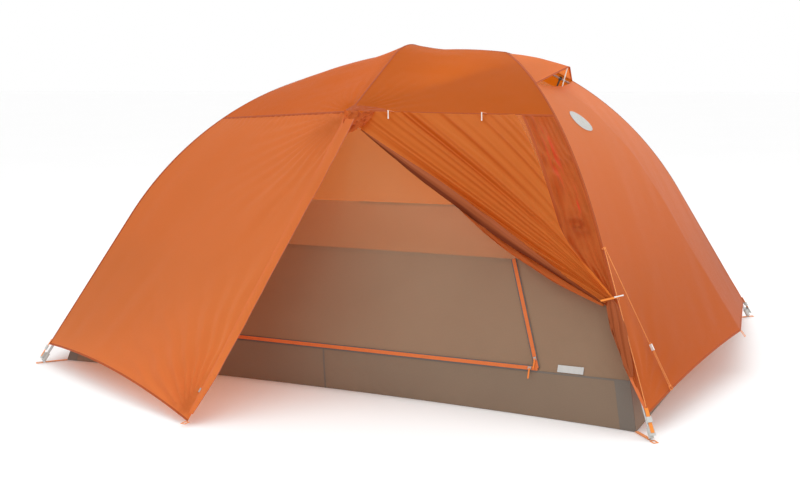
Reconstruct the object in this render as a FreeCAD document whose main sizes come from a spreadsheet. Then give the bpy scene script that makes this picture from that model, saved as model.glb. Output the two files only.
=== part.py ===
"""A three-person dome tent on a hubbed pole frame: two hubs, a ridge pole, four leg poles and a cross brow pole,
an inner tent with a bathtub floor and two zipped doors, and a fly with two vestibules and a propped roof vent.

The tent stands on its floor. X runs along the ridge from the foot end (-X) to the head end (+X), the open
vestibule faces -Y, and the origin is on the ground under the point where the brow pole crosses the ridge.
"""

import FreeCAD
import Part
import math
import os
import Sketcher
from FreeCAD import Matrix, Placement, Rotation, Vector

# alias, value in millimetres or degrees, what it is
DIMENSIONS = (
    ("floor_length", 2300, "length of the bathtub floor"),
    ("head_width", 1778, "floor width at the head end, +X"),
    ("foot_width", 1626, "floor width at the foot end, -X"),
    ("floor_bow", 58, "how far the long edges of the floor bow inward at mid length"),
    ("tub_height", 150, "height of the bathtub walls"),
    ("tub_lean", 49, "how far the top of a long tub wall stands inside the straight floor edge"),
    ("corner_reach_x", 65, "pole foot outside the floor corner, along X"),
    ("corner_reach_y", 70, "pole foot outside the floor corner, along Y"),
    ("hub_head_x", 400, "distance of the head hub from the brow pole"),
    ("hub_foot_x", 450, "distance of the foot hub from the brow pole"),
    ("ridge_radius", 1900, "bend radius of the ridge pole"),
    ("ridge_top_x", 170, "place of the highest point of the ridge"),
    ("ridge_top_z", 1184, "height of the ridge pole's centreline there"),
    ("brow_half_span", 556, "half the width of the brow pole"),
    ("brow_top_z", 1206, "height of the brow pole's centreline at the crossing"),
    ("brow_bend_radius", 350, "bend radius at the middle of the brow pole"),
    ("brow_bend_angle", 27, "slope of the straight ends of the brow pole"),
    ("head_leg_angle", 54.5, "slope of the head legs at the ground"),
    ("head_leg_straight", 420, "plan length of the straight lower part of a head leg"),
    ("foot_leg_angle", 55, "slope of the foot legs at the ground"),
    ("foot_leg_straight", 385, "plan length of the straight lower part of a foot leg"),
    ("tip_height", 3, "height of the lower end of a leg's centreline"),
    ("pole_diameter", 9, "outer diameter of the pole tubes"),
    ("pole_wall", 0.8, "wall of the pole tubes"),
    ("ferrule_length", 60, "length of the insert that joins two pole sections"),
    ("ferrule_bore", 4.6, "bore of that insert"),
    ("fit_clearance", 0.1, "radial clearance of an insert in its tube"),
    ("shock_cord_diameter", 2.4, "diameter of the elastic cord in the poles"),
    ("socket_clearance", 0.2, "radial clearance of a pole in a moulded socket"),
    ("hub_radius", 13.2, "radius of the body of a hub"),
    ("hub_socket_diameter", 14, "outer diameter of a hub's sockets"),
    ("hub_socket_reach", 42, "distance of a socket's mouth from the hub's centre"),
    ("hub_socket_floor", 14, "distance of a socket's floor from the hub's centre"),
    ("fly_gap", 14, "from a pole's centreline to the inside of the fly"),
    ("canopy_gap", 40, "from a pole's centreline to the outside of the inner tent"),
    ("fabric", 2, "thickness that stands for the cloth"),
    ("seam_gap", 0.4, "distance of a panel's edge from its seam line"),
    ("floor_inset", 1.5, "from the foot of the tub walls to the edge of the floor sheet"),
    ("touch", 0.4, "gap between two pieces that lie on each other"),
    ("head_seam_share", 0.38, "place of the vestibule seam along a head leg, as a share of its plan length"),
    ("foot_seam_share", 0.335, "place of the vestibule seam along a foot leg"),
    ("hem_share", 0.965, "place of the fly's hem along a leg"),
    ("vent_share", 0.24, "place of the vent's corners along a head leg"),
    ("vent_rise", 72, "how far the vent hood is propped up"),
    ("vent_overhang", 38, "how far the peak of the hood stands past the lip of the vent"),
    ("strut_width", 10, "width of the vent strut"),
    ("strut_thickness", 2, "thickness of the vent strut"),
    ("ridge_lift_span", 150, "length over which the brow pole lifts the fly off the ridge"),
    ("apex_x", -210, "place of the vestibule's stake point along X"),
    ("apex_y", 1365, "distance of the vestibule's stake point from the centre line"),
    ("apex_z", 12, "height of the vestibule's stake point"),
    ("hem_arch", 36, "how far a vestibule's hem arches up between its ends"),
    ("end_tab_reach", 177, "reach of the fly's end tab past the floor"),
    ("end_tab_z", 150, "height of the fly's end tab"),
    ("wall_lean", 24, "slope of the long inner walls from upright"),
    ("wall_top_z", 490, "height of the seam between wall cloth and mesh"),
    ("door_hinge_x", -560, "place of the sewn edge of a door"),
    ("door_zip_x", 810, "place of the lower corner of a door's zip"),
    ("door_zip_slant", 22, "slope of the door's side zip from upright"),
    ("zip_width", 5, "width of a zip's coil"),
    ("zip_height", 1.6, "height of a zip's coil"),
    ("slider_length", 12, "length of a zip slider"),
    ("slider_width", 9, "width of a zip slider"),
    ("slider_height", 4.4, "height of a zip slider"),
    ("slider_clearance", 0.4, "clearance of a slider round the coil"),
    ("slider_rest", 26, "distance of a door's sliders from the corner of its zip"),
    ("pull_length", 34, "length of a zip pull"),
    ("pull_width", 5, "width of a zip pull"),
    ("pull_thickness", 1.6, "thickness of a zip pull"),
    ("buckle_length", 34, "length of a corner buckle's sleeve"),
    ("buckle_diameter", 17, "outer diameter of that sleeve"),
    ("buckle_start", 5, "from the pole's lower end to the sleeve"),
    ("tip_length", 14, "length of a pole tip"),
    ("tip_diameter", 6, "diameter of a pole tip"),
    ("webbing_width", 12, "width of the webbing"),
    ("webbing_thickness", 1.5, "thickness of the webbing"),
    ("loop_reach", 26, "reach of a stake loop"),
    ("clip_width", 10, "width of a canopy clip"),
    ("clip_diameter", 15, "outer diameter of a canopy clip"),
    ("toggle_length", 30, "length of a roll-up toggle"),
    ("toggle_diameter", 5, "diameter of a toggle"),
    ("toggle_reach", 46, "from the seam to the toggle that hangs from it"),
    ("flap_width", 42, "width of the storm flap over a fly zip"),
    ("tie_share", 0.79, "place of the tie-back along the front head leg"),
    ("guy_share", 0.70, "place of the guy-out loop along the front head leg"),
    ("guy_diameter", 2.2, "diameter of the guy line"),
    ("guy_stand_off", 16, "distance of the guy line from the fly"),
    ("guy_turn", 2.4, "radius of the guy line's turn round its ring"),
    ("guy_ring_reach", 15, "length of the ring at the head hem"),
    ("tensioner_place", 0.7, "place of the tensioner along the long guy line"),
    ("tensioner_length", 22, "length of the guy line's tensioner"),
    ("tensioner_width", 10, "width of the tensioner, along the webbed plane"),
    ("tensioner_thickness", 5.2, "thickness of the tensioner"),
)

doc = FreeCAD.newDocument("Tent")
sheet = doc.addObject("Spreadsheet::Sheet", "Dimensions")
for row, (alias, value, meaning) in enumerate(DIMENSIONS, start=1):
    sheet.set("A%d" % row, meaning)
    sheet.set("B%d" % row, str(value))
    sheet.setAlias("B%d" % row, alias)
doc.recompute()

UP = Vector(0, 0, 1)
INSIDE = Vector(0, 0, 300)  # a point well inside the tent, which tells a panel's inner side


def size(alias):
    return float(sheet.get(alias))


def bind(item, **expressions):
    """Binds properties of a document object to cells of the sheet."""
    for name, expression in expressions.items():
        item.setExpression(name, expression)
    return item


def feature(label, shape):
    """A document object that holds a shape made here."""
    item = doc.addObject("Part::Feature", label)
    item.Label = label
    item.Shape = shape
    return item


def unit(vector):
    return Vector(vector).normalize()


def mirrored(shape):
    """The same shape on the other long side of the tent."""
    return shape.mirror(Vector(0, 0, 0), Vector(0, 1, 0))


def turned_to(flip, vector):
    """The same vector on the front side (1) or the rear side (-1)."""
    return Vector(vector.x, vector.y * flip, vector.z)


def frame_at(origin, along, outward):
    """A placement whose X runs along a piece and whose Z points outward."""
    x_axis = unit(along)
    z_axis = unit(outward - x_axis * outward.dot(x_axis))
    y_axis = z_axis.cross(x_axis)
    matrix = Matrix(
        x_axis.x, y_axis.x, z_axis.x, origin.x,
        x_axis.y, y_axis.y, z_axis.y, origin.y,
        x_axis.z, y_axis.z, z_axis.z, origin.z,
    )
    return Placement(matrix)


# ---------------------------------------------------------------------------------------------------------------
# The lines of the frame. Each is the centreline of a pole, or that line moved outward by a gap.


class Leg:
    """A leg pole: an arc from its hub, then a straight part to the ground, in one upright plane."""

    def __init__(self, end):
        word = "head" if end > 0 else "foot"
        self.hub = ridge_point(end * size("hub_%s_x" % word))
        foot_x = end * (size("floor_length") / 2 + size("corner_reach_x"))
        foot_y = -(size("%s_width" % word) / 2 + size("corner_reach_y"))
        plan = Vector(foot_x, foot_y, 0) - Vector(self.hub.x, self.hub.y, 0)
        self.span = plan.Length
        self.way = plan.normalize()
        self.low_angle = math.radians(size("%s_leg_angle" % word))
        self.straight = size("%s_leg_straight" % word)
        self.seam = size("%s_seam_share" % word)
        self.bend_r = self.span - self.straight
        self.bend_z = size("tip_height") + self.straight * math.tan(self.low_angle)
        drop = self.hub.z - self.bend_z
        chord_angle = math.atan2(drop, self.bend_r)
        self.top_angle = 2 * chord_angle - self.low_angle
        half_turn = (self.low_angle - self.top_angle) / 2
        self.radius = math.hypot(self.bend_r, drop) / (2 * math.sin(half_turn))

    def at(self, share, gap=0.0):
        """The point at a share of the leg's plan length, moved outward by gap."""
        reach = share * self.span
        if reach < self.bend_r:
            angle = math.asin(reach / self.radius + math.sin(self.top_angle))
            height = self.hub.z - self.radius * (math.cos(self.top_angle) - math.cos(angle))
        else:
            angle = self.low_angle
            height = size("tip_height") + (self.span - reach) * math.tan(angle)
        base = Vector(self.hub.x, self.hub.y, height) + self.way * reach
        return base + (self.way * math.sin(angle) + UP * math.cos(angle)) * gap

    def along(self, share):
        """The direction of the leg there, pointing down."""
        step = 0.002
        return unit(self.at(min(1, share + step)) - self.at(max(0, share - step)))

    def outward(self, share):
        return unit(self.at(share, 1.0) - self.at(share))

    def share_at_height(self, height, gap=0.0):
        low, high = 0.0, 1.0
        for _ in range(40):
            middle = (low + high) / 2
            if self.at(middle, gap).z > height:
                low = middle
            else:
                high = middle
        return low


def ridge_point(x, gap=0.0):
    """The ridge pole's centreline over x, moved outward by gap."""
    angle = math.asin((x - size("ridge_top_x")) / size("ridge_radius"))
    centre = Vector(size("ridge_top_x"), 0, size("ridge_top_z") - size("ridge_radius"))
    return centre + Vector(math.sin(angle), 0, math.cos(angle)) * (size("ridge_radius") + gap)


def brow_point(y, gap=0.0):
    """The brow pole's centreline at y, moved outward by gap."""
    radius = size("brow_bend_radius")
    slope = math.radians(size("brow_bend_angle"))
    bend_y = radius * math.sin(slope)
    if abs(y) < bend_y:
        angle = math.asin(y / radius)
        height = size("brow_top_z") - radius * (1 - math.cos(angle))
    else:
        angle = math.copysign(slope, y)
        height = size("brow_top_z") - radius * (1 - math.cos(slope)) - (abs(y) - bend_y) * math.tan(slope)
    return Vector(0, y, height) + Vector(0, math.sin(angle), math.cos(angle)) * gap


def fly_ridge(x):
    """The inside of the fly along the ridge, which the brow pole lifts at the crossing."""
    rise = brow_point(0, size("fly_gap")).z - ridge_point(0, size("fly_gap")).z
    share = max(0.0, 1 - abs(x) / size("ridge_lift_span"))
    return ridge_point(x, size("fly_gap")) + UP * rise * share ** 1.5


TOP_SHARE = 0.015  # where an end panel's top edge crosses the legs


def crease(leg, share, gap):
    """The line that a leg gives the cloth, which starts from the ridge at the hub."""
    start = TOP_SHARE
    if share >= start:
        return leg.at(share, gap)
    top = ridge_point(leg.hub.x, gap)
    return top + (leg.at(start, gap) - top) * (share / start)


HEAD = Leg(1)
FOOT = Leg(-1)
FLY = size("fly_gap")
CANOPY = -(size("canopy_gap") + size("fabric"))
BROW_END = brow_point(-size("brow_half_span"), FLY)
APEX = Vector(size("apex_x"), -size("apex_y"), size("apex_z"))
HEM = size("hem_share")
VENT = size("vent_share")


# ---------------------------------------------------------------------------------------------------------------
# Cloth. A panel is a grid of points on its inner side, made into a closed solid with the cloth's thickness outward.


def sampled(curve, count):
    return [curve(step / (count - 1)) for step in range(count)]


def line(start, end, arch=0.0, bow=None):
    """Points from start to end, arched upward in the middle, or bowed along a vector."""
    def curve(share):
        lift = 4 * share * (1 - share)
        side = bow * lift if bow else Vector(0, 0, 0)
        return start + (end - start) * share + UP * arch * lift + side
    return curve


def patch(top, bottom, left, right, across, down):
    """A grid that fills four border curves, each a function of a share from 0 to 1."""
    upper, lower = sampled(top, across), sampled(bottom, across)
    first, last = sampled(left, down), sampled(right, down)
    upper[0] = first[0]
    upper[-1] = last[0]
    lower[0] = first[-1]
    lower[-1] = last[-1]
    grid = []
    for row in range(down):
        v = row / (down - 1)
        points = []
        for column in range(across):
            u = column / (across - 1)
            ruled = upper[column] * (1 - v) + lower[column] * v
            swept = first[row] * (1 - u) + last[row] * u
            corners = (upper[0] * (1 - u) + upper[-1] * u) * (1 - v) + (lower[0] * (1 - u) + lower[-1] * u) * v
            points.append(ruled + swept - corners)
        grid.append(points)
    return grid


def drawn_in(grid, gap):
    """The same grid with its border moved inward by gap, so that neighbours don't touch."""
    rows, columns = len(grid), len(grid[0])

    def toward(point, other):
        step = other - point
        return step * (gap / step.Length) if step.Length > gap * 2 else step * 0.25

    moved = [list(points) for points in grid]
    for row in range(rows):
        moved[row][0] = moved[row][0] + toward(grid[row][0], grid[row][1])
        moved[row][-1] = moved[row][-1] + toward(grid[row][-1], grid[row][-2])
    for column in range(columns):
        moved[0][column] = moved[0][column] + toward(grid[0][column], grid[1][column])
        moved[-1][column] = moved[-1][column] + toward(grid[-1][column], grid[-2][column])
    return moved


def normals_of(grid, inside):
    """The outward direction at each point of a grid."""
    rows, columns = len(grid), len(grid[0])
    found = []
    for row in range(rows):
        line_of_normals = []
        for column in range(columns):
            ahead = grid[row][min(column + 1, columns - 1)] - grid[row][max(column - 1, 0)]
            below = grid[min(row + 1, rows - 1)][column] - grid[max(row - 1, 0)][column]
            normal = unit(ahead.cross(below))
            if normal.dot(grid[row][column] - inside) < 0:
                normal = normal * -1
            line_of_normals.append(normal)
        found.append(line_of_normals)
    return found


def triangle(a, b, c):
    return Part.Face(Part.makePolygon([a, b, c, a]))


def quad(a, b, c, d):
    """Two flat triangles that fill four corners."""
    return [triangle(p, q, r) for p, q, r in ((a, b, c), (a, c, d)) if (q - p).cross(r - p).Length > 1e-4]


def cloth(grid, thickness=None, inside=INSIDE, gap=None):
    """A closed solid of flat facets from a grid of points on the cloth's inner side.

    thickness is a function of a row's share for a gathered piece, and the cloth's own thickness if it is left out.
    """
    inner = drawn_in(grid, size("seam_gap") if gap is None else gap)
    normals = normals_of(inner, inside)
    outer = []
    for row, (points, found) in enumerate(zip(inner, normals)):
        depth = thickness(row / (len(inner) - 1)) if thickness else size("fabric")
        outer.append([p + n * depth for p, n in zip(points, found)])
    for points in outer:
        for point in points:
            point.z = max(point.z, 0.0)
    rows, columns = len(inner), len(inner[0])
    faces = []
    for row in range(rows - 1):
        for column in range(columns - 1):
            for side in (inner, outer):
                faces += quad(
                    side[row][column], side[row][column + 1], side[row + 1][column + 1], side[row + 1][column]
                )
    rim = [(0, c) for c in range(columns)] + [(r, columns - 1) for r in range(1, rows)]
    rim += [(rows - 1, c) for c in range(columns - 2, -1, -1)] + [(r, 0) for r in range(rows - 2, 0, -1)]
    for (r0, c0), (r1, c1) in zip(rim, rim[1:] + rim[:1]):
        faces += quad(inner[r0][c0], inner[r1][c1], outer[r1][c1], outer[r0][c0])
    return closed_solid(faces)


def closed_solid(faces):
    shell = Part.Shell(faces)
    if not shell.isClosed():
        shell.sewShape()
    solid = Part.Solid(shell)
    if solid.Volume < 0:
        solid.reverse()
    return solid


def both_sides(shape):
    return [shape, mirrored(shape)]


# ---------------------------------------------------------------------------------------------------------------
# Poles. Each is a chain of tube sections with an insert at each joint and an elastic cord right through.


def arc_edge(curve, start, end):
    """The arc of a pole between two shares of it."""
    return Part.Arc(curve(start), curve((start + end) / 2), curve(end)).toShape()


def line_edge(curve, start, end):
    return Part.LineSegment(curve(start), curve(end)).toShape()


def pipe(edges, radius):
    """A round bar along a chain of tangent edges."""
    wire = Part.Wire(edges)
    first = wire.OrderedEdges[0]
    start = first.valueAt(first.FirstParameter)
    circle = Part.Wire([Part.Circle(start, first.tangentAt(first.FirstParameter), radius).toShape()])
    return wire.makePipeShell([circle], True, False, 2)


def tube(edges, outer, inner):
    return pipe(edges, outer).cut(pipe(edges, inner))


class Pole:
    """A curve with its bends and section joints, as shares of its length."""

    def __init__(self, curve, bends, joints, first, last):
        self.curve = curve
        self.bends = bends  # (start, end, is_straight) of each arc or straight part
        self.stops = [first] + joints + [last]

    def edges(self, start, end):
        made = []
        for low, high, is_straight in self.bends:
            a, b = max(low, start), min(high, end)
            if b - a > 1e-6:
                made.append(line_edge(self.curve, a, b) if is_straight else arc_edge(self.curve, a, b))
        return made

    def sections(self):
        outer = size("pole_diameter") / 2
        inner = outer - size("pole_wall")
        return [tube(self.edges(a, b), outer, inner) for a, b in zip(self.stops, self.stops[1:])]

    def share_of(self, length, near):
        """How much of the curve's share a short length takes up near a place."""
        step = 0.001
        return length * step / (self.curve(near + step / 2) - self.curve(near - step / 2)).Length

    def ferrules(self):
        outer = size("pole_diameter") / 2 - size("pole_wall") - size("fit_clearance")
        made = []
        for joint in self.stops[1:-1]:
            half = self.share_of(size("ferrule_length") / 2, joint)
            made.append(tube(self.edges(joint - half, joint + half), outer, size("ferrule_bore") / 2))
        return made

    def cord(self):
        ends = [self.stops[0], self.stops[-1]]
        return pipe(self.edges(*ends), size("shock_cord_diameter") / 2)


def leg_pole(leg):
    bend = leg.bend_r / leg.span
    slope_length = leg.span / math.cos(leg.low_angle)
    start = size("hub_socket_floor") / (leg.span / math.cos(leg.top_angle))
    end = 1 - (size("tip_length") + size("tip_height") * 0) / slope_length
    return Pole(leg.at, [(0, bend, False), (bend, 1, True)], [bend * 0.5, bend * 0.98], start, end)


def ridge_pole():
    low, high = -size("hub_foot_x"), size("hub_head_x")
    spread = high - low
    start = size("hub_socket_floor") / spread
    return Pole(
        lambda share: ridge_point(low + spread * share), [(0, 1, False)], [0.34, 0.78], start, 1 - start
    )


def brow_pole():
    half = size("brow_half_span")
    bend = size("brow_bend_radius") * math.sin(math.radians(size("brow_bend_angle"))) / half
    bends = [(0, 0.5 - bend / 2, True), (0.5 - bend / 2, 0.5 + bend / 2, False), (0.5 + bend / 2, 1, True)]
    return Pole(lambda share: brow_point(-half + 2 * half * share), bends, [0.28, 0.72], 0, 1)


def build_poles():
    legs = {"head": leg_pole(HEAD), "foot": leg_pole(FOOT)}
    ferrules, cords = [], []
    for word, pole in legs.items():
        for side in ("front", "rear"):
            side_of = mirrored if side == "rear" else (lambda shape: shape)
            feature("leg_pole_%s_%s" % (side, word), Part.makeCompound([side_of(s) for s in pole.sections()]))
            ferrules += [side_of(s) for s in pole.ferrules()]
            cords.append(side_of(pole.cord()))
    ridge = ridge_pole()
    feature("ridge_pole", Part.makeCompound(ridge.sections()))
    feature("pole_ferrules", Part.makeCompound(ferrules + ridge.ferrules()))
    feature("shock_cords", Part.makeCompound(cords + [ridge.cord()]))
    brow = brow_pole()
    caps = []
    for y in (-size("brow_half_span"), size("brow_half_span")):
        end = brow_point(y)
        way = unit(end - brow_point(y * 0.99))
        caps.append(Part.makeSphere(size("pole_diameter") / 2, end + way * 0.01, way, 0, 90, 360))
    feature("brow_pole", Part.makeCompound(brow.sections() + brow.ferrules() + [brow.cord()] + caps))


# ---------------------------------------------------------------------------------------------------------------
# Hubs, swivel, corner hardware and clips.


def hub(label, leg, x_way):
    """A moulded hub: a round body with three sockets, for the ridge pole and two legs."""
    centre = leg.hub
    start = size("hub_socket_floor")
    reach = size("hub_socket_reach")
    ridge_way = unit(ridge_point(centre.x - x_way * reach) - centre)
    leg_way = unit(leg.at(reach / leg.span) - centre)
    ways = [ridge_way, leg_way, Vector(leg_way.x, -leg_way.y, leg_way.z)]
    body = Part.makeSphere(size("hub_radius"), centre)
    bore = size("pole_diameter") / 2 + size("socket_clearance")
    for way in ways:
        body = body.fuse(Part.makeCylinder(size("hub_socket_diameter") / 2, reach, centre, way))
    for way in ways:
        body = body.cut(Part.makeCylinder(bore, reach, centre + way * start, way))
    feature(label, body)


def swivel():
    """The clip that joins the brow pole to the ridge pole: a saddle on each, which turn on one upright pin."""
    ridge_z = ridge_point(0).z
    brow_z = size("brow_top_z")
    middle = (ridge_z + brow_z) / 2
    outer = size("pole_diameter") / 2 + 2.5
    bore = size("pole_diameter") / 2 + size("socket_clearance")
    pin, half_width = 3.0, 11.0
    running = 0.15
    ridge_way = unit(ridge_point(1) - ridge_point(-1))
    base = Part.makeCylinder(outer, 2 * half_width, ridge_point(0) - ridge_way * half_width, ridge_way)
    base = base.fuse(Part.makeCylinder(outer, middle - ridge_z, Vector(0, 0, ridge_z)))
    base = base.cut(Part.makeCylinder(bore, 4 * half_width, ridge_point(0) - ridge_way * 2 * half_width, ridge_way))
    pin_length = 6.0
    base = base.fuse(Part.makeCylinder(pin, pin_length, Vector(0, 0, middle - 0.5)))
    feature("swivel_base", base)
    cap = Part.makeCylinder(outer, 2 * half_width, Vector(0, -half_width, brow_z), Vector(0, 1, 0))
    cap = cap.fuse(Part.makeCylinder(outer, brow_z - middle - running, Vector(0, 0, middle + running)))
    cap = cap.cut(pipe([arc_edge(lambda s: brow_point(-30 + 60 * s), 0, 1)], bore))
    cap = cap.cut(Part.makeCylinder(pin + running, pin_length + running, Vector(0, 0, middle - running)))
    feature("swivel_cap", cap)


def corner_frames():
    """For each corner: the leg's lower end, the way up the leg, the way outward, and whether it is mirrored."""
    found = []
    for leg in (HEAD, FOOT):
        foot = leg.at(1)
        upward = leg.along(0.99) * -1
        outward = leg.outward(0.99)
        for flip in (1, -1):
            def turned(vector, flip=flip):
                return Vector(vector.x, vector.y * flip, vector.z)
            found.append((turned(foot), turned(upward), turned(outward), leg, flip))
    return found


def box_in(place, x, y, z):
    """A box between two coordinates along each axis of a placement."""
    block = Part.makeBox(x[1] - x[0], y[1] - y[0], z[1] - z[0], Vector(x[0], y[0], z[0]))
    block.Placement = place
    return block


def stake_loop(origin, way, normal):
    """A folded loop of webbing with room for a stake."""
    width, thick, reach = size("webbing_width") + 6, size("webbing_thickness"), size("loop_reach")
    loop = Part.makeBox(reach, width, thick, Vector(0, -width / 2, 0))
    loop = loop.cut(Part.makeBox(reach - 6, width - 6, 4, Vector(3, -width / 2 + 3, -1)))
    loop.Placement = frame_at(origin, way, normal)
    return loop


def corner_hardware():
    """The tip in each pole's end, the buckle it snaps into, and the webbing to the fly, the floor and the stake."""
    tips, buckles, straps, adjusters, loops = [], [], [], [], []
    pole_radius = size("pole_diameter") / 2
    width, thick, touch = size("webbing_width"), size("webbing_thickness"), size("touch")
    for foot, upward, outward, leg, flip in corner_frames():
        place = frame_at(foot, upward, outward)
        tip_length = size("tip_length")
        tip = Part.makeCylinder(size("tip_diameter") / 2, tip_length, foot, upward)
        plug = pole_radius - size("pole_wall") - size("fit_clearance")
        plug_bar = Part.makeCylinder(plug, 10, foot + upward * tip_length, upward)
        collar = Part.makeCylinder(pole_radius - 0.3, 3, foot + upward * (tip_length - 3.1), upward)
        core = Part.makeCylinder(size("ferrule_bore") / 2, 11, foot + upward * tip_length, upward)
        tips.append(tip.fuse(collar).fuse(plug_bar.cut(core)))
        start, end = size("buckle_start"), size("buckle_start") + size("buckle_length")
        strap_z = FLY + size("fabric") + touch
        plate_z = strap_z - touch
        buckle = Part.makeCylinder(size("buckle_diameter") / 2, size("buckle_length"), foot + upward * start, upward)
        buckle = buckle.fuse(box_in(place, (start + 8, end - 4), (-5, 5), (6, plate_z - 1)))
        plate = box_in(place, (start + 4, end), (-width / 2 - 4, width / 2 + 4), (plate_z - 3, plate_z))
        buckle = buckle.fuse(plate)
        buckle = buckle.cut(Part.makeCylinder(pole_radius + size("socket_clearance"), 60, foot + upward * 10, upward))
        tip_bore = size("tip_diameter") / 2 + size("socket_clearance")
        buckles.append(buckle.cut(Part.makeCylinder(tip_bore, 30, foot - upward, upward)))
        hem = leg.at(HEM, FLY)
        hem_end = (Vector(hem.x, hem.y * flip, hem.z) - foot).dot(upward)
        straps.append(
            box_in(place, (start + 12, hem_end + 22), (-width / 2, width / 2), (strap_z, strap_z + thick))
        )
        middle = (end + hem_end) / 2 + 2
        adjuster = box_in(
            place, (middle - 9, middle + 9), (-width / 2 - 3, width / 2 + 3), (strap_z - 2.4, strap_z + thick + 2.4)
        )
        slot = box_in(
            place,
            (middle - 20, middle + 20),
            (-width / 2 - touch, width / 2 + touch),
            (strap_z - touch, strap_z + thick + touch),
        )
        adjusters.append(adjuster.cut(slot))
        word = "head" if foot.x > 0 else "foot"
        corner = Vector(math.copysign(size("floor_length") / 2, foot.x), 0, 0)
        corner.y = math.copysign(size("%s_width" % word) / 2, foot.y)
        out = unit(Vector(foot.x - corner.x, foot.y - corner.y, 0))
        near = corner + out * touch * 1.3 + UP
        far = Vector(foot.x, foot.y, 1) - out * (pole_radius * 2 + 1.6)
        strap = Part.makeBox((far - near).Length, width, thick, Vector(0, -width / 2, 0))
        strap.Placement = frame_at(near, far - near, UP)
        straps.append(strap)
        loops.append(stake_loop(Vector(foot.x, foot.y, 0.2) - out * 0.9, out, UP))
    feature("pole_tips", Part.makeCompound(tips))
    feature("corner_buckles", Part.makeCompound(buckles))
    feature("corner_webbing", Part.makeCompound(straps))
    feature("strap_adjusters", Part.makeCompound(adjusters))
    return loops


def canopy_clip(point, along, skin):
    """A ring that snaps round a pole, with a stem down to the inner tent's skin."""
    bore = size("pole_diameter") / 2 + size("socket_clearance")
    outer = size("clip_diameter") / 2
    width = size("clip_width")
    reach = (skin - point).Length - size("touch") - 0.3
    clip = Part.makeCylinder(outer, width, point - along * width / 2, along)
    stem = Part.makeBox(width * 0.6, 4, reach - outer + 2, Vector(-width * 0.3, -2, -reach))
    stem.Placement = frame_at(point, along, point - skin)
    clip = clip.fuse(stem)
    return clip.cut(Part.makeCylinder(bore, 2 * width, point - along * width, along))


def canopy_clips():
    clips = []
    for leg in (HEAD, FOOT):
        for share in (0.20, 0.42, 0.62, 0.80):
            clips += both_sides(canopy_clip(leg.at(share), leg.along(share), canopy_crease(leg, share)))
    for x in (-size("hub_foot_x") * 0.5, size("hub_head_x") * 0.5):
        way = unit(ridge_point(x + 1) - ridge_point(x - 1))
        clips.append(canopy_clip(ridge_point(x), way, ridge_point(x, CANOPY + size("fabric"))))
    feature("canopy_clips", Part.makeCompound(clips))


# ---------------------------------------------------------------------------------------------------------------
# The inner tent.


def floor_edge(share):
    """The front edge of the floor, from the foot end to the head end, bowed inward."""
    foot = Vector(-size("floor_length") / 2, -size("foot_width") / 2, 0)
    head = Vector(size("floor_length") / 2, -size("head_width") / 2, 0)
    return foot + (head - foot) * share + Vector(0, size("floor_bow"), 0) * 4 * share * (1 - share)


def wall_point(x, z):
    """The inner side of the flat lower wall at the front, over x, at height z."""
    taper = (size("head_width") - size("foot_width")) / 2 / size("floor_length")
    y = -((size("head_width") + size("foot_width")) / 4 - size("tub_lean") + taper * x)
    return Vector(x, y + (z - size("tub_height")) * math.tan(math.radians(size("wall_lean"))), z)


def wall_end_x(leg, z):
    """Where that wall ends beside a leg."""
    return leg.at(leg.share_at_height(z, CANOPY), CANOPY).x


def zip_x(z):
    """Where the door's side zip crosses height z."""
    return size("door_zip_x") - (z - size("tub_height")) * math.tan(math.radians(size("door_zip_slant")))


def canopy_top(share):
    """The upper edge of the long inner wall: foot leg, brow pole, head leg."""
    foot = FOOT.at(FOOT.seam, CANOPY)
    head = HEAD.at(HEAD.seam, CANOPY)
    peak = brow_point(-size("brow_half_span") * 0.93, CANOPY)
    if share < 0.5:
        return foot + (peak - foot) * share * 2
    return peak + (head - peak) * (share - 0.5) * 2


def flat_panel(low_left, low_right, high_left, high_right, inside=INSIDE):
    return cloth([[high_left, high_right], [low_left, low_right]], inside=inside)


def floor_and_tub():
    count = 9
    front = sampled(floor_edge, count)
    rear = [Vector(p.x, -p.y, p.z) for p in front]
    clear = size("floor_inset")
    outline = [p + Vector(0, clear, 0) for p in front] + [p - Vector(0, clear, 0) for p in reversed(rear)]
    for point in outline:
        point.x -= math.copysign(clear, point.x) if abs(point.x) > size("floor_length") / 2 - 1 else 0
    sheet_face = Part.Face(Part.makePolygon(outline + outline[:1]))
    feature("floor_sheet", sheet_face.extrude(UP * size("fabric")))
    top_z = size("tub_height")
    left_x, right_x = wall_end_x(FOOT, top_z), wall_end_x(HEAD, top_z)
    low = front
    high = [wall_point(left_x + (right_x - left_x) * i / (count - 1), top_z) for i in range(count)]
    long_wall = cloth([high, low])
    walls = both_sides(long_wall)
    for i in (0, count - 1):
        low_a, high_a = low[i], high[i]
        low_b, high_b = Vector(low_a.x, -low_a.y, low_a.z), Vector(high_a.x, -high_a.y, high_a.z)
        walls.append(flat_panel(low_a, low_b, high_a, high_b))
    feature("tub_walls", Part.makeCompound(walls))


def crease_shift(leg):
    """How far the corner of the lower wall stands from the leg's crease at the wall's top."""
    high_z = size("wall_top_z")
    share_low = leg.share_at_height(high_z, CANOPY)
    return wall_point(wall_end_x(leg, high_z), high_z) - leg.at(share_low, CANOPY), share_low


def canopy_line(leg, share):
    """The inner side of the inner tent's crease beside a front leg, down to the wall's top."""
    shift, share_low = crease_shift(leg)
    return crease(leg, share, CANOPY) + shift * max(0.0, (share - leg.seam) / (share_low - leg.seam))


def canopy_crease(leg, share):
    """The outer side of that crease beside a place on the leg, on the wall as well as on the mesh."""
    if share < crease_shift(leg)[1]:
        skin = canopy_line(leg, share)
    else:
        height = leg.at(share, CANOPY).z
        skin = wall_point(wall_end_x(leg, height), height)
    return skin + leg.outward(share) * size("fabric")


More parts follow.
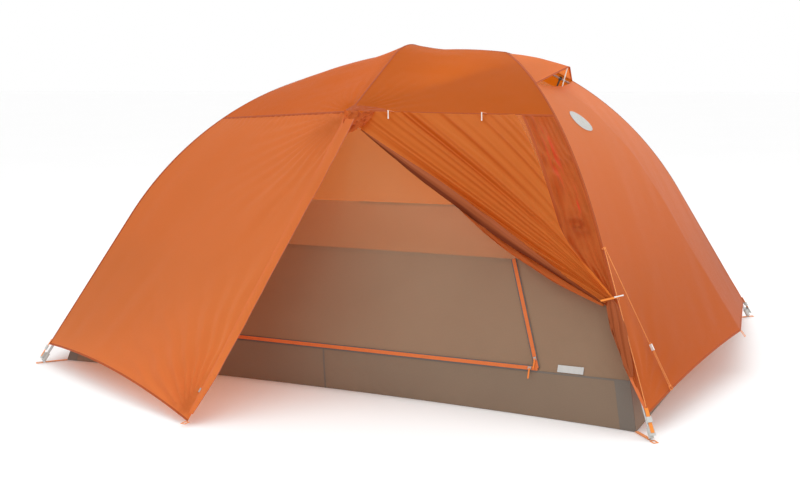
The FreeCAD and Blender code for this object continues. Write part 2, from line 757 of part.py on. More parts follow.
def side_walls():
    """The wall, door and mesh of the long sides. The rear side is the front one mirrored."""
    low_z, high_z = size("tub_height"), size("wall_top_z")
    left = [wall_end_x(FOOT, z) for z in (low_z, high_z)]
    right = [wall_end_x(HEAD, z) for z in (low_z, high_z)]
    hinge = size("door_hinge_x")
    zips = [zip_x(z) for z in (low_z, high_z)]
    hinge_top, zip_top = 0.22, 0.88

    def lower(low_x, high_x):
        low = [wall_point(x, low_z) for x in low_x]
        high = [wall_point(x, high_z) for x in high_x]
        return flat_panel(low[0], low[1], high[0], high[1])

    def mesh_piece(x_a, x_b, top_a, top_b, left_side=None, right_side=None, across=5):
        bottom = line(wall_point(x_a, high_z), wall_point(x_b, high_z))

        def top(share):
            return canopy_top(top_a + (top_b - top_a) * share)

        left_side = left_side or line(top(0), bottom(0))
        right_side = right_side or line(top(1), bottom(1))
        return cloth(patch(top, bottom, left_side, right_side, across, 6))

    def leg_side(leg):
        share_low = crease_shift(leg)[1]
        return lambda share: canopy_line(leg, leg.seam + (share_low - leg.seam) * share)

    walls = [lower((left[0], hinge), (left[1], hinge)), lower((zips[0], right[0]), (zips[1], right[1]))]
    meshes = [
        mesh_piece(left[1], hinge, 0, hinge_top, left_side=leg_side(FOOT)),
        mesh_piece(zips[1], right[1], zip_top, 1, right_side=leg_side(HEAD)),
    ]
    feature("side_walls", Part.makeCompound(walls + [mirrored(s) for s in walls]))
    feature("side_meshes", Part.makeCompound(meshes + [mirrored(s) for s in meshes]))
    door = [lower((hinge, zips[0]), (hinge, zips[1])), mesh_piece(hinge, zips[1], hinge_top, zip_top, across=9)]
    feature("door_front", Part.makeCompound(door))
    feature("door_rear", Part.makeCompound([mirrored(s) for s in door]))


def end_walls():
    walls, meshes = [], []
    low_z, high_z = size("tub_height"), size("wall_top_z")
    for leg in (FOOT, HEAD):
        corners = []
        for z in (low_z, high_z):
            x = wall_end_x(leg, z)
            corners.append(wall_point(x, z))
        low, high = corners
        low_b, high_b = Vector(low.x, -low.y, low.z), Vector(high.x, -high.y, high.z)
        walls.append(flat_panel(low, low_b, high, high_b))
        share_low = crease_shift(leg)[1]

        def front_side(share, leg=leg, share_low=share_low):
            if share < 0.5:
                return canopy_line(leg, TOP_SHARE + (leg.seam - TOP_SHARE) * share * 2)
            return canopy_line(leg, leg.seam + (share_low - leg.seam) * (share * 2 - 1))

        def rear_side(share, front_side=front_side):
            return turned_to(-1, front_side(share))

        top = line(front_side(0), rear_side(0))
        meshes.append(cloth(patch(top, line(high, high_b), front_side, rear_side, 7, 11)))
    feature("end_walls", Part.makeCompound(walls))
    feature("end_meshes", Part.makeCompound(meshes))


def roof_mesh():
    """The mesh over the ridge, in four pieces that meet under the ridge and brow poles."""
    pieces = []
    peak = ridge_point(0, CANOPY)
    brow = canopy_top(0.5)
    for leg, end, low_share in ((HEAD, size("hub_head_x"), 1.0), (FOOT, -size("hub_foot_x"), 0.0)):
        def ridge(share, end=end):
            return ridge_point(end * share, CANOPY)

        def bottom(share, low_share=low_share):
            return canopy_top(0.5 + (low_share - 0.5) * share)

        def outer_side(share, leg=leg):
            return canopy_line(leg, leg.seam * share)

        piece = cloth(patch(ridge, bottom, line(peak, brow), outer_side, 7, 6))
        pieces += both_sides(piece)
    feature("roof_mesh", Part.makeCompound(pieces))


# ---------------------------------------------------------------------------------------------------------------
# The fly.


def seam_line(leg):
    """The seam over a vestibule, from the brow pole's end to a leg."""
    return line(BROW_END, leg.at(leg.seam, FLY))


def roof_panel(leg, end):
    def ridge(share):
        return fly_ridge(end * share)

    def brow(share):
        return brow_point(-size("brow_half_span") * share, FLY)

    rows = 7

    def leg_side(share):
        step = share * (rows - 1)
        reach = TOP_SHARE * step if step < 1 else TOP_SHARE + (leg.seam - TOP_SHARE) * (step - 1) / (rows - 2)
        return crease(leg, reach, FLY)

    return cloth(patch(ridge, seam_line(leg), brow, leg_side, 11, rows))


def end_hem(leg, end):
    """The hem of an end panel, from the front corner over the end tab to the rear corner."""
    corner = leg.at(HEM, FLY)
    tab = Vector(end * (size("floor_length") / 2 + size("end_tab_reach")), 0, size("end_tab_z"))

    def curve(share):
        half = share * 2 if share < 0.5 else 2 - share * 2
        point = line(corner, tab, arch=size("hem_arch") * 0.5)(half)
        return point if share < 0.5 else Vector(point.x, -point.y, point.z)
    return curve


def leg_stretch(leg, start, end, flip=1):
    def curve(share):
        point = crease(leg, start + (end - start) * share, FLY)
        return Vector(point.x, point.y * flip, point.z)
    return curve


def vent_lip(share):
    """The upper edge of the head end panel, which is the lower lip of the vent."""
    low = HEAD.at(VENT, FLY)
    high = Vector(low.x, -low.y, low.z)
    return line(low, high, bow=Vector(22, 0, -14))(share)


def head_end_grid():
    """The head end panel, from the lip of the vent to the hem."""
    front, rear = leg_stretch(HEAD, VENT, HEM), leg_stretch(HEAD, VENT, HEM, -1)
    return patch(vent_lip, end_hem(HEAD, 1), front, rear, 9, 11)


def vent_peak():
    lip = vent_lip(0.5)
    return Vector(lip.x + size("vent_overhang"), 0, lip.z + size("vent_rise"))


def hood_mouth(share):
    """The free edge of the vent's hood, which its strut lifts to a peak."""
    corner = HEAD.at(VENT, FLY)
    half = share * 2 if share < 0.5 else 2 - share * 2
    point = line(corner, vent_peak())(half)
    return point if share < 0.5 else Vector(point.x, -point.y, point.z)


def end_panels():
    foot_end = patch(
        line(FOOT.at(TOP_SHARE, FLY), turned_to(-1, FOOT.at(TOP_SHARE, FLY))),
        end_hem(FOOT, -1),
        leg_stretch(FOOT, TOP_SHARE, HEM),
        leg_stretch(FOOT, TOP_SHARE, HEM, -1),
        9, 13,
    )
    feature("fly_end_foot", cloth(foot_end))
    feature("fly_end_head", cloth(head_end_grid()))
    hood_top = HEAD.at(TOP_SHARE, FLY)
    hood = patch(
        line(hood_top, turned_to(-1, hood_top)),
        hood_mouth,
        leg_stretch(HEAD, TOP_SHARE, VENT),
        leg_stretch(HEAD, TOP_SHARE, VENT, -1),
        9, 6,
    )
    feature("vent_hood", cloth(hood))


def vestibule_left(apex, across=9, down=11):
    """The grid of the part of a vestibule between the foot leg and the zip."""
    foot_seam = FOOT.at(FOOT.seam, FLY)
    corner = FOOT.at(HEM, FLY)
    return patch(
        line(foot_seam, BROW_END),
        line(corner, apex, arch=size("hem_arch")),
        leg_stretch(FOOT, FOOT.seam, HEM),
        line(BROW_END, apex),
        across, down,
    )


def vestibule_right(apex):
    """The part between the zip and the head leg, closed."""
    corner = HEAD.at(HEM, FLY)
    return cloth(
        patch(
            seam_line(HEAD),
            line(apex, corner, arch=size("hem_arch")),
            line(BROW_END, apex),
            leg_stretch(HEAD, HEAD.seam, HEM),
            9, 11,
        )
    )


ZIP_TOP = 0.76  # place of the door's second zip along the seam


def side_strip_edge(share):
    """The door's second zip, which runs down beside the front head leg."""
    start = seam_line(HEAD)(ZIP_TOP)
    leg_point = HEAD.at(HEAD.seam + (HEM - HEAD.seam) * share, FLY)
    offset = start - HEAD.at(HEAD.seam, FLY)
    return leg_point + offset * (1 - share) ** 0.6 + Vector(-42, -6, 0) * share


def side_strip_grid(across, down):
    """The cloth between the door's second zip and the front head leg."""
    top = line(seam_line(HEAD)(ZIP_TOP), HEAD.at(HEAD.seam, FLY))
    bottom = line(side_strip_edge(1), HEAD.at(HEM, FLY))
    return patch(top, bottom, side_strip_edge, leg_stretch(HEAD, HEAD.seam, HEM), across, down)


def pushed_off_strip(grid, clear):
    """Moves a grid's points outward until they stand clear of the side strip."""
    barrier = side_strip_grid(13, 41)
    normals = normals_of(barrier, INSIDE)
    spots = [(p, n) for points, found in zip(barrier, normals) for p, n in zip(points, found)]
    for points in grid:
        for column, point in enumerate(points):
            near, normal = min(spots, key=lambda spot: (spot[0] - point).Length)
            step = point - near
            height = step.dot(normal)
            aside = (step - normal * height).Length
            wanted = clear * max(0.0, 1 - aside / 60)
            if height < wanted and aside < 60:
                points[column] = point + normal * (wanted - height)
    return grid


def strip_normal():
    """The outward direction of the cloth beside the front head leg."""
    across = seam_line(HEAD)(1) - seam_line(HEAD)(ZIP_TOP)
    down = HEAD.at(HEM, FLY) - HEAD.at(HEAD.seam, FLY)
    normal = unit(across.cross(down))
    return normal if normal.y < 0 else normal * -1


def tie_point():
    """Where the rolled door is tied, on the cloth in front of the front head leg."""
    leg_point = HEAD.at(size("tie_share"), FLY)
    return leg_point + Vector(-22, 0, 0) + strip_normal() * (size("fabric") + 3)


def rolled_door():
    """The vestibule door, unzipped, gathered from its seam to the tie-back, with its tail below."""
    tie = tie_point()
    seam = seam_line(HEAD)
    normal = strip_normal()
    clear = size("fabric") + 3

    def top(share):
        return seam(0.03 + (ZIP_TOP - 0.06) * share) + Vector(0, -0.1, -0.3)

    def free_edge(share):
        return line(top(0), tie + Vector(-26, -4, -12), arch=-34)(share)

    def zip_edge(share):
        along = (size("tie_share") - HEAD.seam) / (HEM - HEAD.seam) * share
        edge = side_strip_edge(along) + normal * clear * min(1.0, share * 3)
        start = top(1) - side_strip_edge(0)
        end = tie + Vector(8, -2, 10) - side_strip_edge(along) - normal * clear
        return edge + start * (1 - share) ** 3 + end * share ** 2

    fan_grid = pushed_off_strip(patch(top, line(free_edge(1), zip_edge(1)), free_edge, zip_edge, 9, 13), clear)
    hem = HEAD.at(HEM - 0.02, FLY) + normal * clear
    side = Vector(-1, 0, 0)
    upper = [fan_grid[-1][0], fan_grid[-1][-1]]
    tail_grid = patch(
        line(*upper),
        line(hem + side * 44, hem + side * 16),
        line(upper[0], hem + side * 44, bow=side * 8),
        line(upper[1], hem + side * 16, bow=side * -4),
        9, 7,
    )
    grid = fan_grid + pushed_off_strip(tail_grid, clear)[1:]
    tied_row = (len(fan_grid) - 1) / (len(grid) - 1)

    def depth(share):
        if share < tied_row:
            return 4 + 16 * (share / tied_row) ** 2
        return 20 - 6 * (share - tied_row) / (1 - tied_row)

    feature("fly_door_rolled", cloth(grid, thickness=depth, gap=0.3))


def fly():
    front = [roof_panel(FOOT, -size("hub_foot_x")), roof_panel(HEAD, size("hub_head_x"))]
    feature("fly_roof_front", Part.makeCompound(front))
    feature("fly_roof_rear", Part.makeCompound([mirrored(s) for s in front]))
    end_panels()
    feature("vestibule_front", cloth(vestibule_left(APEX)))
    feature("vestibule_side", cloth(side_strip_grid(5, 13)))
    feature("vestibule_rear", Part.makeCompound([mirrored(cloth(vestibule_left(APEX))), mirrored(vestibule_right(APEX))]))
    rolled_door()


# ---------------------------------------------------------------------------------------------------------------
# Zips, with sliders built as parametric boxes.


def coil(start, end, outward):
    """A zip's coil on the outer side of a wall."""
    length = (end - start).Length
    bar = Part.makeBox(length, size("zip_width"), size("zip_height"), Vector(0, -size("zip_width") / 2, 0.3))
    bar.Placement = frame_at(start, end - start, outward)
    return bar


def slider(label, place, scale="1"):
    """A zip slider: a block with a channel for the coil, its sizes bound to the sheet."""
    block = doc.addObject("Part::Box", label + "_block")
    bind(
        block,
        Length="Dimensions.slider_length * " + scale,
        Width="Dimensions.slider_width * " + scale,
        Height="Dimensions.slider_height",
    )
    block.Placement = Placement(
        Vector(-size("slider_length") * float(scale) / 2, -size("slider_width") * float(scale) / 2, 0.3), Rotation()
    )
    channel = doc.addObject("Part::Box", label + "_channel")
    bind(
        channel,
        Length="Dimensions.slider_length * 3",
        Width="Dimensions.zip_width + 2 * Dimensions.slider_clearance",
        Height="Dimensions.zip_height + 2 * Dimensions.slider_clearance",
    )
    channel.Placement = Placement(
        Vector(
            -size("slider_length") * 1.5,
            -size("zip_width") / 2 - size("slider_clearance"),
            0.3 - size("slider_clearance"),
        ),
        Rotation(),
    )
    body = doc.addObject("Part::Cut", label)
    body.Base = block
    body.Tool = channel
    body.Label = label
    body.Placement = place
    return body


def pull(label, place):
    """A slider's pull: a tab with a rounded end and a grip hole, padded from a sketch."""
    body = doc.addObject("PartDesign::Body", label)
    body.Label = label
    sketch = body.newObject("Sketcher::SketchObject", label + "_outline")
    plane = next(f for f in body.Origin.OriginFeatures if f.Role == "XY_Plane")
    sketch.AttachmentSupport = [(plane, "")]
    sketch.MapMode = "FlatFace"
    half, length = size("pull_width") / 2, size("pull_length")
    points = [Vector(0, -half, 0), Vector(length, -half, 0), Vector(length, half, 0), Vector(0, half, 0)]
    for i in range(3):
        if i != 1:
            sketch.addGeometry(Part.LineSegment(points[i], points[i + 1]), False)
    sketch.addGeometry(
        Part.Arc(points[1], Vector(length + half, 0, 0), points[2]), False
    )
    sketch.addGeometry(Part.LineSegment(points[3], points[0]), False)
    sketch.addGeometry(Part.Circle(Vector(length, 0, 0), UP, half * 0.5), False)
    pad = body.newObject("PartDesign::Pad", label + "_pad")
    pad.Profile = sketch
    pad.setExpression("Length", "Dimensions.pull_thickness")
    body.Placement = place
    return body


def door_zip(prefix, flip):
    """The coils of one inner door, its two sliders and their pulls. Returns the coils."""
    low_z, high_z = size("tub_height"), size("wall_top_z")
    lean = math.radians(size("wall_lean"))
    outward = Vector(0, -math.cos(lean) * flip, math.sin(lean))
    down_wall = Vector(0, -math.sin(lean) * flip, -math.cos(lean))
    skin = outward * size("fabric")

    def placed(x, z):
        point = wall_point(x, z)
        return Vector(point.x, point.y * flip, point.z) + skin

    margin = size("zip_width")
    low_start = placed(zip_x(low_z + margin) - margin, low_z + margin)
    low_end = placed(size("door_hinge_x"), low_z + margin)
    side_start = placed(zip_x(low_z + 2.5 * margin) - margin, low_z + 2.5 * margin)
    side_end = placed(zip_x(high_z - 2) - margin, high_z - 2)
    for word, start, end in (("low", low_start, low_end), ("side", side_start, side_end)):
        way = unit(end - start)
        centre = start + way * size("slider_rest")
        slider("door_slider_%s_%s" % (prefix, word), frame_at(centre, way, outward))
        hinge = centre + outward * (size("slider_height") + 0.3 + size("touch"))
        pull("door_pull_%s_%s" % (prefix, word), frame_at(hinge, down_wall, outward))
    return [coil(low_start, low_end, outward), coil(side_start, side_end, outward)]


def fly_zip_line():
    """The zip edge of the foot side of the front vestibule: its start, its direction, outward and into the cloth."""
    way = unit(APEX - BROW_END)
    _, inward, outward = zip_edge_frame(0.6)
    return BROW_END, way, outward, inward


def zip_edge_frame(share):
    """A point on the zip edge of the foot side of the front vestibule, the way into the cloth and its normal."""
    grid = vestibule_left(APEX, 41, 41)
    row = share * 40
    low = min(39, int(row))
    points = [grid[low][c] + (grid[low + 1][c] - grid[low][c]) * (row - low) for c in (38, 40)]
    inner = unit(points[0] - points[1])
    way = unit(APEX - BROW_END)
    inner = unit(inner - way * inner.dot(way))
    normal = unit(inner.cross(way))
    return points[1], inner, normal if normal.y < 0 else normal * -1


def fly_zips():
    """The coil on the free edge of each vestibule, its slider near the ground and the storm flap over both."""
    top, way, outward, inward = fly_zip_line()
    length = (APEX - top).Length
    inset = inward * size("slider_width")
    skin = outward * (size("fabric") + 0.5)
    start = top + way * 60 + inset + skin
    end = top + way * (length - 60) + inset + skin
    centre = end - way * size("slider_rest") * 2
    coils, flaps = [], []
    cover = size("slider_height") + size("fabric") + 3
    for word, flip in (("front", 1), ("rear", -1)):
        coils.append(coil(turned_to(flip, start), turned_to(flip, end), turned_to(flip, outward)))
        place = frame_at(turned_to(flip, centre), turned_to(flip, way), turned_to(flip, outward))
        slider("fly_slider_%s" % word, place, "1.3")
        rows = []
        for step in range(7):
            share = 0.04 + 0.92 * step / 6
            point, inner, normal = zip_edge_frame(share)
            lift = max(outward.dot(normal) * cover, cover)
            root = point + inner * size("flap_width") + normal * (size("fabric") + size("touch"))
            bend = point + inner * (size("flap_width") * 0.6) + normal * lift
            rows.append([turned_to(flip, p) for p in (root, bend, point + normal * lift)])
        flaps.append(cloth(rows))
    feature("fly_zips", Part.makeCompound(coils))
    feature("storm_flaps", Part.makeCompound(flaps))


# ---------------------------------------------------------------------------------------------------------------
# Vent strut, toggles, loops, guy line and labels.


def vent_strut():
    """The flat strut that stands behind the lip of the vent and props its hood."""
    lip, below = (points[4] for points in head_end_grid()[:2])
    down = unit(below - lip)
    lip_out = unit(Vector(-down.z, 0, down.x))
    lip_out = lip_out if lip_out.x > 0 else lip_out * -1
    half = size("strut_thickness") / 2
    foot = lip + down * 7 + lip_out * (size("fabric") + 2 * size("touch") + half)
    slope = unit(vent_peak() - HEAD.at(TOP_SHARE, FLY))
    slope = unit(Vector(slope.x, 0, slope.z))
    hood_out = Vector(-slope.z, 0, slope.x)
    head = vent_peak() - slope * 10 - hood_out * (size("touch") + 0.6)
    body = doc.addObject("Part::Box", "vent_strut")
    body.Label = "vent_strut"
    bind(body, Width="Dimensions.strut_width", Height="Dimensions.strut_thickness")
    body.Length = (head - foot).Length
    local = Placement(Vector(0, -size("strut_width") / 2, -half), Rotation())
    body.Placement = frame_at(foot, head - foot, Vector(1, 0, 0)).multiply(local)
    print("vent strut foot", [round(v, 1) for v in foot], "head", [round(v, 1) for v in head])
    return body


def toggle(label, place):
    """A toggle turned with a waist, made as a revolved body."""
    body = doc.addObject("PartDesign::Body", label)
    body.Label = label
    sketch = body.newObject("Sketcher::SketchObject", label + "_profile")
    plane = next(f for f in body.Origin.OriginFeatures if f.Role == "XY_Plane")
    sketch.AttachmentSupport = [(plane, "")]
    sketch.MapMode = "FlatFace"
    half, radius = size("toggle_length") / 2, size("toggle_diameter") / 2
    outline = [
        Vector(-half, 0, 0), Vector(-half, radius, 0), Vector(-half * 0.3, radius * 0.75, 0),
        Vector(half * 0.3, radius * 0.75, 0), Vector(half, radius, 0), Vector(half, 0, 0),
    ]
    for a, b in zip(outline, outline[1:] + outline[:1]):
        sketch.addGeometry(Part.LineSegment(a, b), False)
    turned = body.newObject("PartDesign::Revolution", label + "_turned")
    turned.Profile = sketch
    turned.ReferenceAxis = (sketch, ["H_Axis"])
    turned.Angle = 360
    body.Placement = place
    return body


def toggles_and_loops(corner_loops):
    """The roll-up toggles under the seam, the tie-back with its toggle, and the webbing loops of the whole fly."""
    loops = list(corner_loops)
    seam = seam_line(HEAD)
    width, thick, touch = size("webbing_width"), size("webbing_thickness"), size("touch")
    reach = size("toggle_reach")
    for word, share in (("inner", 0.215), ("outer", 0.67)):
        root = seam(share) + Vector(0, 0.3, 3)
        arm = unit(Vector(0, -1, 0.17))
        point = root + arm * reach
        top = point - UP * (touch + size("toggle_length") / 2)
        toggle("rollup_toggle_%s" % word, frame_at(top, UP * -1, Vector(0, -1, 0)))
        loops.append(box_in(frame_at(root, arm, UP), (0, reach), (-width * 0.3, width * 0.3), (0, thick)))
    tie = tie_point()
    normal = strip_normal()
    down = unit(HEAD.at(HEM, FLY) - HEAD.at(HEAD.seam, FLY))
    across = unit(normal.cross(down))
    across = across if across.x > 0 else across * -1
    place = frame_at(tie, across, normal)
    loops.append(box_in(place, (-34, 28), (-3, 3), (27.5, 27.5 + thick)))
    loops.append(box_in(place, (26.5, 26.5 + thick), (-3, 3), (-2.2, 27)))
    toggle_place = frame_at(tie + across * 26 + normal * (29 + touch + size("toggle_diameter") / 2), across, normal)
    toggle("tieback_toggle", toggle_place)
    for flip in (1, -1):
        apex = turned_to(flip, APEX)
        out = unit(Vector(apex.x * 0.2, apex.y, 0))
        loops.append(stake_loop(apex + out * 0.8, out, UP))
    for end, leg, top in ((1, HEAD, vent_lip(0.5)), (-1, FOOT, FOOT.at(TOP_SHARE, FLY))):
        tab = end_hem(leg, end)(0.5)
        down = unit(tab - Vector(top.x, 0, top.z))
        loop = stake_loop(tab + down * 0.6, down, Vector(end, 0, 1))
        loops.append(loop)
    start, hem, corner, way, across = guy_points()
    normal = unit(way.cross(across))
    leg_out = HEAD.outward(size("guy_share"))
    skin = HEAD.at(size("guy_share"), FLY + size("fabric") + touch)
    stand = size("guy_stand_off") - size("guy_diameter") / 2 - 2 * touch
    loops.append(box_in(frame_at(skin, leg_out, HEAD.along(size("guy_share"))), (0, stand), (-5, 5), (-1, 1)))
    place = frame_at(hem, way, normal)
    ring = box_in(place, (-1.5, size("guy_ring_reach")), (-8, 8), (-9, 9))
    ring = ring.cut(box_in(place, (1.5, size("guy_ring_reach") - 2), (-9, 9), (-7, 7)))
    slim = box_in(place, (-5, 40), (-0.75, 0.75), (-10, 10))
    loops.append(ring.common(slim))
    feature("webbing_loops", Part.makeCompound(loops))


def guy_points():
    """The guy line's loop on the front head leg, its ring at the head hem, its end at the corner, and its plane."""
    offset = FLY + size("fabric") + size("guy_stand_off")
    start = HEAD.at(size("guy_share"), offset)
    lift = Vector(0.86, -0.2, 0.47)
    hem = end_hem(HEAD, 1)(0.105) + lift * (size("fabric") + 4) + UP * 2
    way = unit(hem - start)
    hem = hem - way * size("guy_ring_reach")
    across = unit(lift - way * lift.dot(way))
    strap_top = FLY + size("fabric") + size("touch") * 2 + size("webbing_thickness") + size("guy_diameter") / 2
    corner = HEAD.at(HEM - 0.012, strap_top)
    return start, hem, corner, way, across


def round_route(points, diameter):
    """A tube along straight runs joined by tangent arcs, and its smallest radius."""
    edges, here, radii = [], points[0], []
    for before, corner, after in zip(points, points[1:], points[2:]):
        back, ahead = unit(before - corner), unit(after - corner)
        turn = math.pi - math.acos(max(-1, min(1, back.dot(ahead))))
        run = min((before - corner).Length, (after - corner).Length)
        cut = 0.45 * run
        radius = cut / math.tan(turn / 2)
        radii.append(radius)
        start, end = corner + back * cut, corner + ahead * cut
        middle = corner + unit(back + ahead) * (math.hypot(radius, cut) - radius)
        edges.append(Part.LineSegment(here, start).toShape())
        edges.append(Part.Arc(start, middle, end).toShape())
        here = end
    edges.append(Part.LineSegment(here, points[-1]).toShape())
    return pipe(edges, diameter / 2), radii, sum(e.Length for e in edges)


def guy_route():
    """The long guy line: down to the ring at the hem, round it, and back up through the tensioner."""
    start, hem, _, way, across = guy_points()
    turn = size("guy_turn")
    bottom = hem + way * (turn + size("guy_diameter") / 2)
    place_at = size("tensioner_place")
    top = start + (bottom - start) * place_at - way * 6
    return [start, bottom - across * turn, bottom + across * turn, top + across * turn], across


def guy_line():
    start, hem, corner, way, across = guy_points()
    points, across = guy_route()
    strand, radii, length = round_route(points, size("guy_diameter"))
    print("guy line length %.0f, bend radii %s" % (length, ["%.1f" % r for r in radii]))
    feature("guy_line_long", strand)
    root = start + Vector(-0.76, -0.65, 0) * (size("guy_diameter") + size("touch"))
    feature("guy_line_short", pipe([Part.LineSegment(root, corner).toShape()], size("guy_diameter") / 2))
    print("short guy line length %.0f" % (corner - root).Length)
    turn = size("guy_turn")
    leg_one = unit(points[1] - points[0])
    middle = points[0] + leg_one * ((points[1] - points[0]).Length * size("tensioner_place"))
    length, width, thick = size("tensioner_length"), size("tensioner_width"), size("tensioner_thickness")
    offset = (points[3] - middle).dot(across)
    place = frame_at(middle, leg_one, leg_one.cross(across))
    sign = 1 if place.Rotation.multVec(Vector(0, 1, 0)).dot(across) > 0 else -1
    centre = sign * offset / 2
    block = Part.makeBox(length, width, thick, Vector(0, centre - width / 2, -thick / 2))
    block = block.makeFillet(1.2, [e for e in block.Edges if abs(e.Length - length) < 0.01])
    bore = size("guy_diameter") / 2 + 0.3
    for y in (0, sign * offset):
        hole = Part.makeCylinder(bore, 3 * length, Vector(-length, y, 0), Vector(1, 0, 0))
        block = block.cut(hole)
    block.Placement = place
    feature("guy_tensioner", block)


def labels():
    """The blank size label on the front wall's seam."""
    lean = math.radians(size("wall_lean"))
    outward = Vector(0, -math.cos(lean), math.sin(lean))
    start = wall_point(872, size("tub_height") + 2) + outward * (size("fabric") + 0.3)
    label = Part.makeBox(88, 24, 0.6)
    label.Placement = frame_at(start, Vector(1, -0.033, 0), outward)
    feature("size_label", label)


build_poles()
hub("hub_head", HEAD, 1)
hub("hub_foot", FOOT, -1)
swivel()
corner_loops = corner_hardware()
canopy_clips()
floor_and_tub()
side_walls()
end_walls()
roof_mesh()
fly()
feature("door_zips", Part.makeCompound(door_zip("front", 1) + door_zip("rear", -1)))
fly_zips()
vent_strut()
toggles_and_loops(corner_loops)
guy_line()
labels()
doc.recompute()


# ---------------------------------------------------------------------------------------------------------------
# Checks, then one STEP file for each sub-part.


def is_tool(item):
    """True for an object that only shapes another one."""
    return any(parent.isDerivedFrom("Part::Cut") for parent in item.InList) or item.Label.endswith(("_block", "_channel"))


subparts = [
    item for item in doc.Objects
    if item.isDerivedFrom("Part::Feature") and not item.isDerivedFrom("PartDesign::Feature") and not is_tool(item)
    and not item.isDerivedFrom("Sketcher::SketchObject")
]
for item in doc.Objects:
    if "Invalid" in item.State or "Error" in item.State:
        raise RuntimeError("%s failed: %s" % (item.Label, item.State))
os.makedirs("parts", exist_ok=True)
for item in subparts:
    if item.Shape.isNull() or not item.Shape.isValid() or not item.Shape.Solids:
        raise RuntimeError("%s has no valid shape" % item.Label)
    for solid in item.Shape.Solids:
        if solid.Volume <= 0:
            raise RuntimeError("%s holds a solid with no volume" % item.Label)
for item in subparts:
    item.Shape.exportStep("parts/%s.step" % item.Label)
print("wrote %d sub-parts" % len(subparts))
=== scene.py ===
import math

import bpy
import numpy as np
from mathutils import Matrix, Vector


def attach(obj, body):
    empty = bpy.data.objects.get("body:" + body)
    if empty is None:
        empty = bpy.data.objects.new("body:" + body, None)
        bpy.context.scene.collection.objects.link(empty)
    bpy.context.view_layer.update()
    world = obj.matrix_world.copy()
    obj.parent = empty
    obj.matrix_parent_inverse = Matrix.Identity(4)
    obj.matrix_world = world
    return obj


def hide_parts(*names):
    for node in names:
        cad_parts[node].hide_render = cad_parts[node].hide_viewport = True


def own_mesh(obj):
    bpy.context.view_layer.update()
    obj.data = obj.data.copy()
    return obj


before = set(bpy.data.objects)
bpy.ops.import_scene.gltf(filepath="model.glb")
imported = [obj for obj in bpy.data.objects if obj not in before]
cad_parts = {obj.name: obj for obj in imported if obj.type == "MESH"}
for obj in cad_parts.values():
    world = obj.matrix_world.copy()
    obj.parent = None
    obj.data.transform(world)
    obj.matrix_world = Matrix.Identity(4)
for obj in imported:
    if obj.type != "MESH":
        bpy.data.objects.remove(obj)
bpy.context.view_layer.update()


# --------------------------------------------------------------------------------------------------
# The camera stands in front of the porch, a little to the head end, at the height of a person crouching.
# It looks at the tent's middle through a 55 mm lens.

camera_data = bpy.data.cameras.new("camera")
camera = bpy.data.objects.new("camera", camera_data)
bpy.context.scene.collection.objects.link(camera)
camera_data.lens = 55.0
camera_data.sensor_width = 36.0
camera_data.dof.use_dof = False
azimuth, elevation, roll = math.radians(24.395), math.radians(9.199), math.radians(-0.713)
AIM, DISTANCE = Vector((-0.063, 0.0, 0.376)), 5.083
back = Vector(
    (math.sin(azimuth) * math.cos(elevation), -math.cos(azimuth) * math.cos(elevation), math.sin(elevation))
)
level_right = (-back).cross(Vector((0, 0, 1))).normalized()
level_up = level_right.cross(-back)
right = level_right * math.cos(roll) + level_up * math.sin(roll)
up = level_up * math.cos(roll) - level_right * math.sin(roll)
stand = Matrix((right, up, back)).transposed().to_4x4()
stand.translation = AIM + back * DISTANCE
camera.matrix_world = stand
bpy.context.scene.camera = camera


# --------------------------------------------------------------------------------------------------
# The ground is a pale sweep, and the light comes from large soft panels overhead and in front. A small one
# inside stands for daylight through the cloth.

bpy.context.scene.view_settings.view_transform = "Standard"
world = bpy.data.worlds.new("studio")
bpy.context.scene.world = world
world.use_nodes = True
world.node_tree.nodes["Background"].inputs["Color"].default_value = (1.0, 1.0, 1.0, 1.0)
world.node_tree.nodes["Background"].inputs["Strength"].default_value = 1.0


def new_material(name):
    material = bpy.data.materials.new(name)
    material.use_nodes = True
    material.node_tree.nodes.clear()
    return material, material.node_tree


def node(tree, kind, inputs=None, **settings):
    """A shader node, with its settings, and with values or links for its inputs."""
    made = tree.nodes.new(kind)
    for key, value in settings.items():
        setattr(made, key, value)
    for key, value in (inputs or {}).items():
        if isinstance(value, bpy.types.NodeSocket):
            tree.links.new(value, made.inputs[key])
        else:
            made.inputs[key].default_value = value
    return made


def blended(tree, share, first, second, blend_type="MIX"):
    """A colour between two others."""
    made = node(tree, "ShaderNodeMix", data_type="RGBA", blend_type=blend_type)
    for socket, value in ((made.inputs[0], share), (made.inputs[6], first), (made.inputs[7], second)):
        if isinstance(value, bpy.types.NodeSocket):
            tree.links.new(value, socket)
        else:
            socket.default_value = value
    return made.outputs[2]


def scaled(tree, value, low, high):
    """A 0 to 1 value moved into the range from low to high."""
    made = node(tree, "ShaderNodeMapRange", {"Value": value, "To Min": low, "To Max": high})
    return made.outputs["Result"]


def linear(r, g, b):
    """A display colour from 0 to 255 as a linear one."""
    return tuple(((c / 255 + 0.055) / 1.055) ** 2.4 if c > 10 else c / 3294 for c in (r, g, b)) + (1.0,)


def floor_material():
    material, tree = new_material("studio_floor")
    place = node(tree, "ShaderNodeTexCoord").outputs["Object"]
    cloud = node(tree, "ShaderNodeTexNoise", {"Vector": place, "Scale": 0.8, "Detail": 3.0}).outputs["Fac"]
    colour = blended(tree, cloud, (0.975, 0.975, 0.975, 1), (0.995, 0.995, 0.995, 1))
    shader = node(tree, "ShaderNodeBsdfPrincipled", {"Base Color": colour, "Roughness": 0.85})
    node(tree, "ShaderNodeOutputMaterial", {"Surface": shader.outputs[0]})
    return material


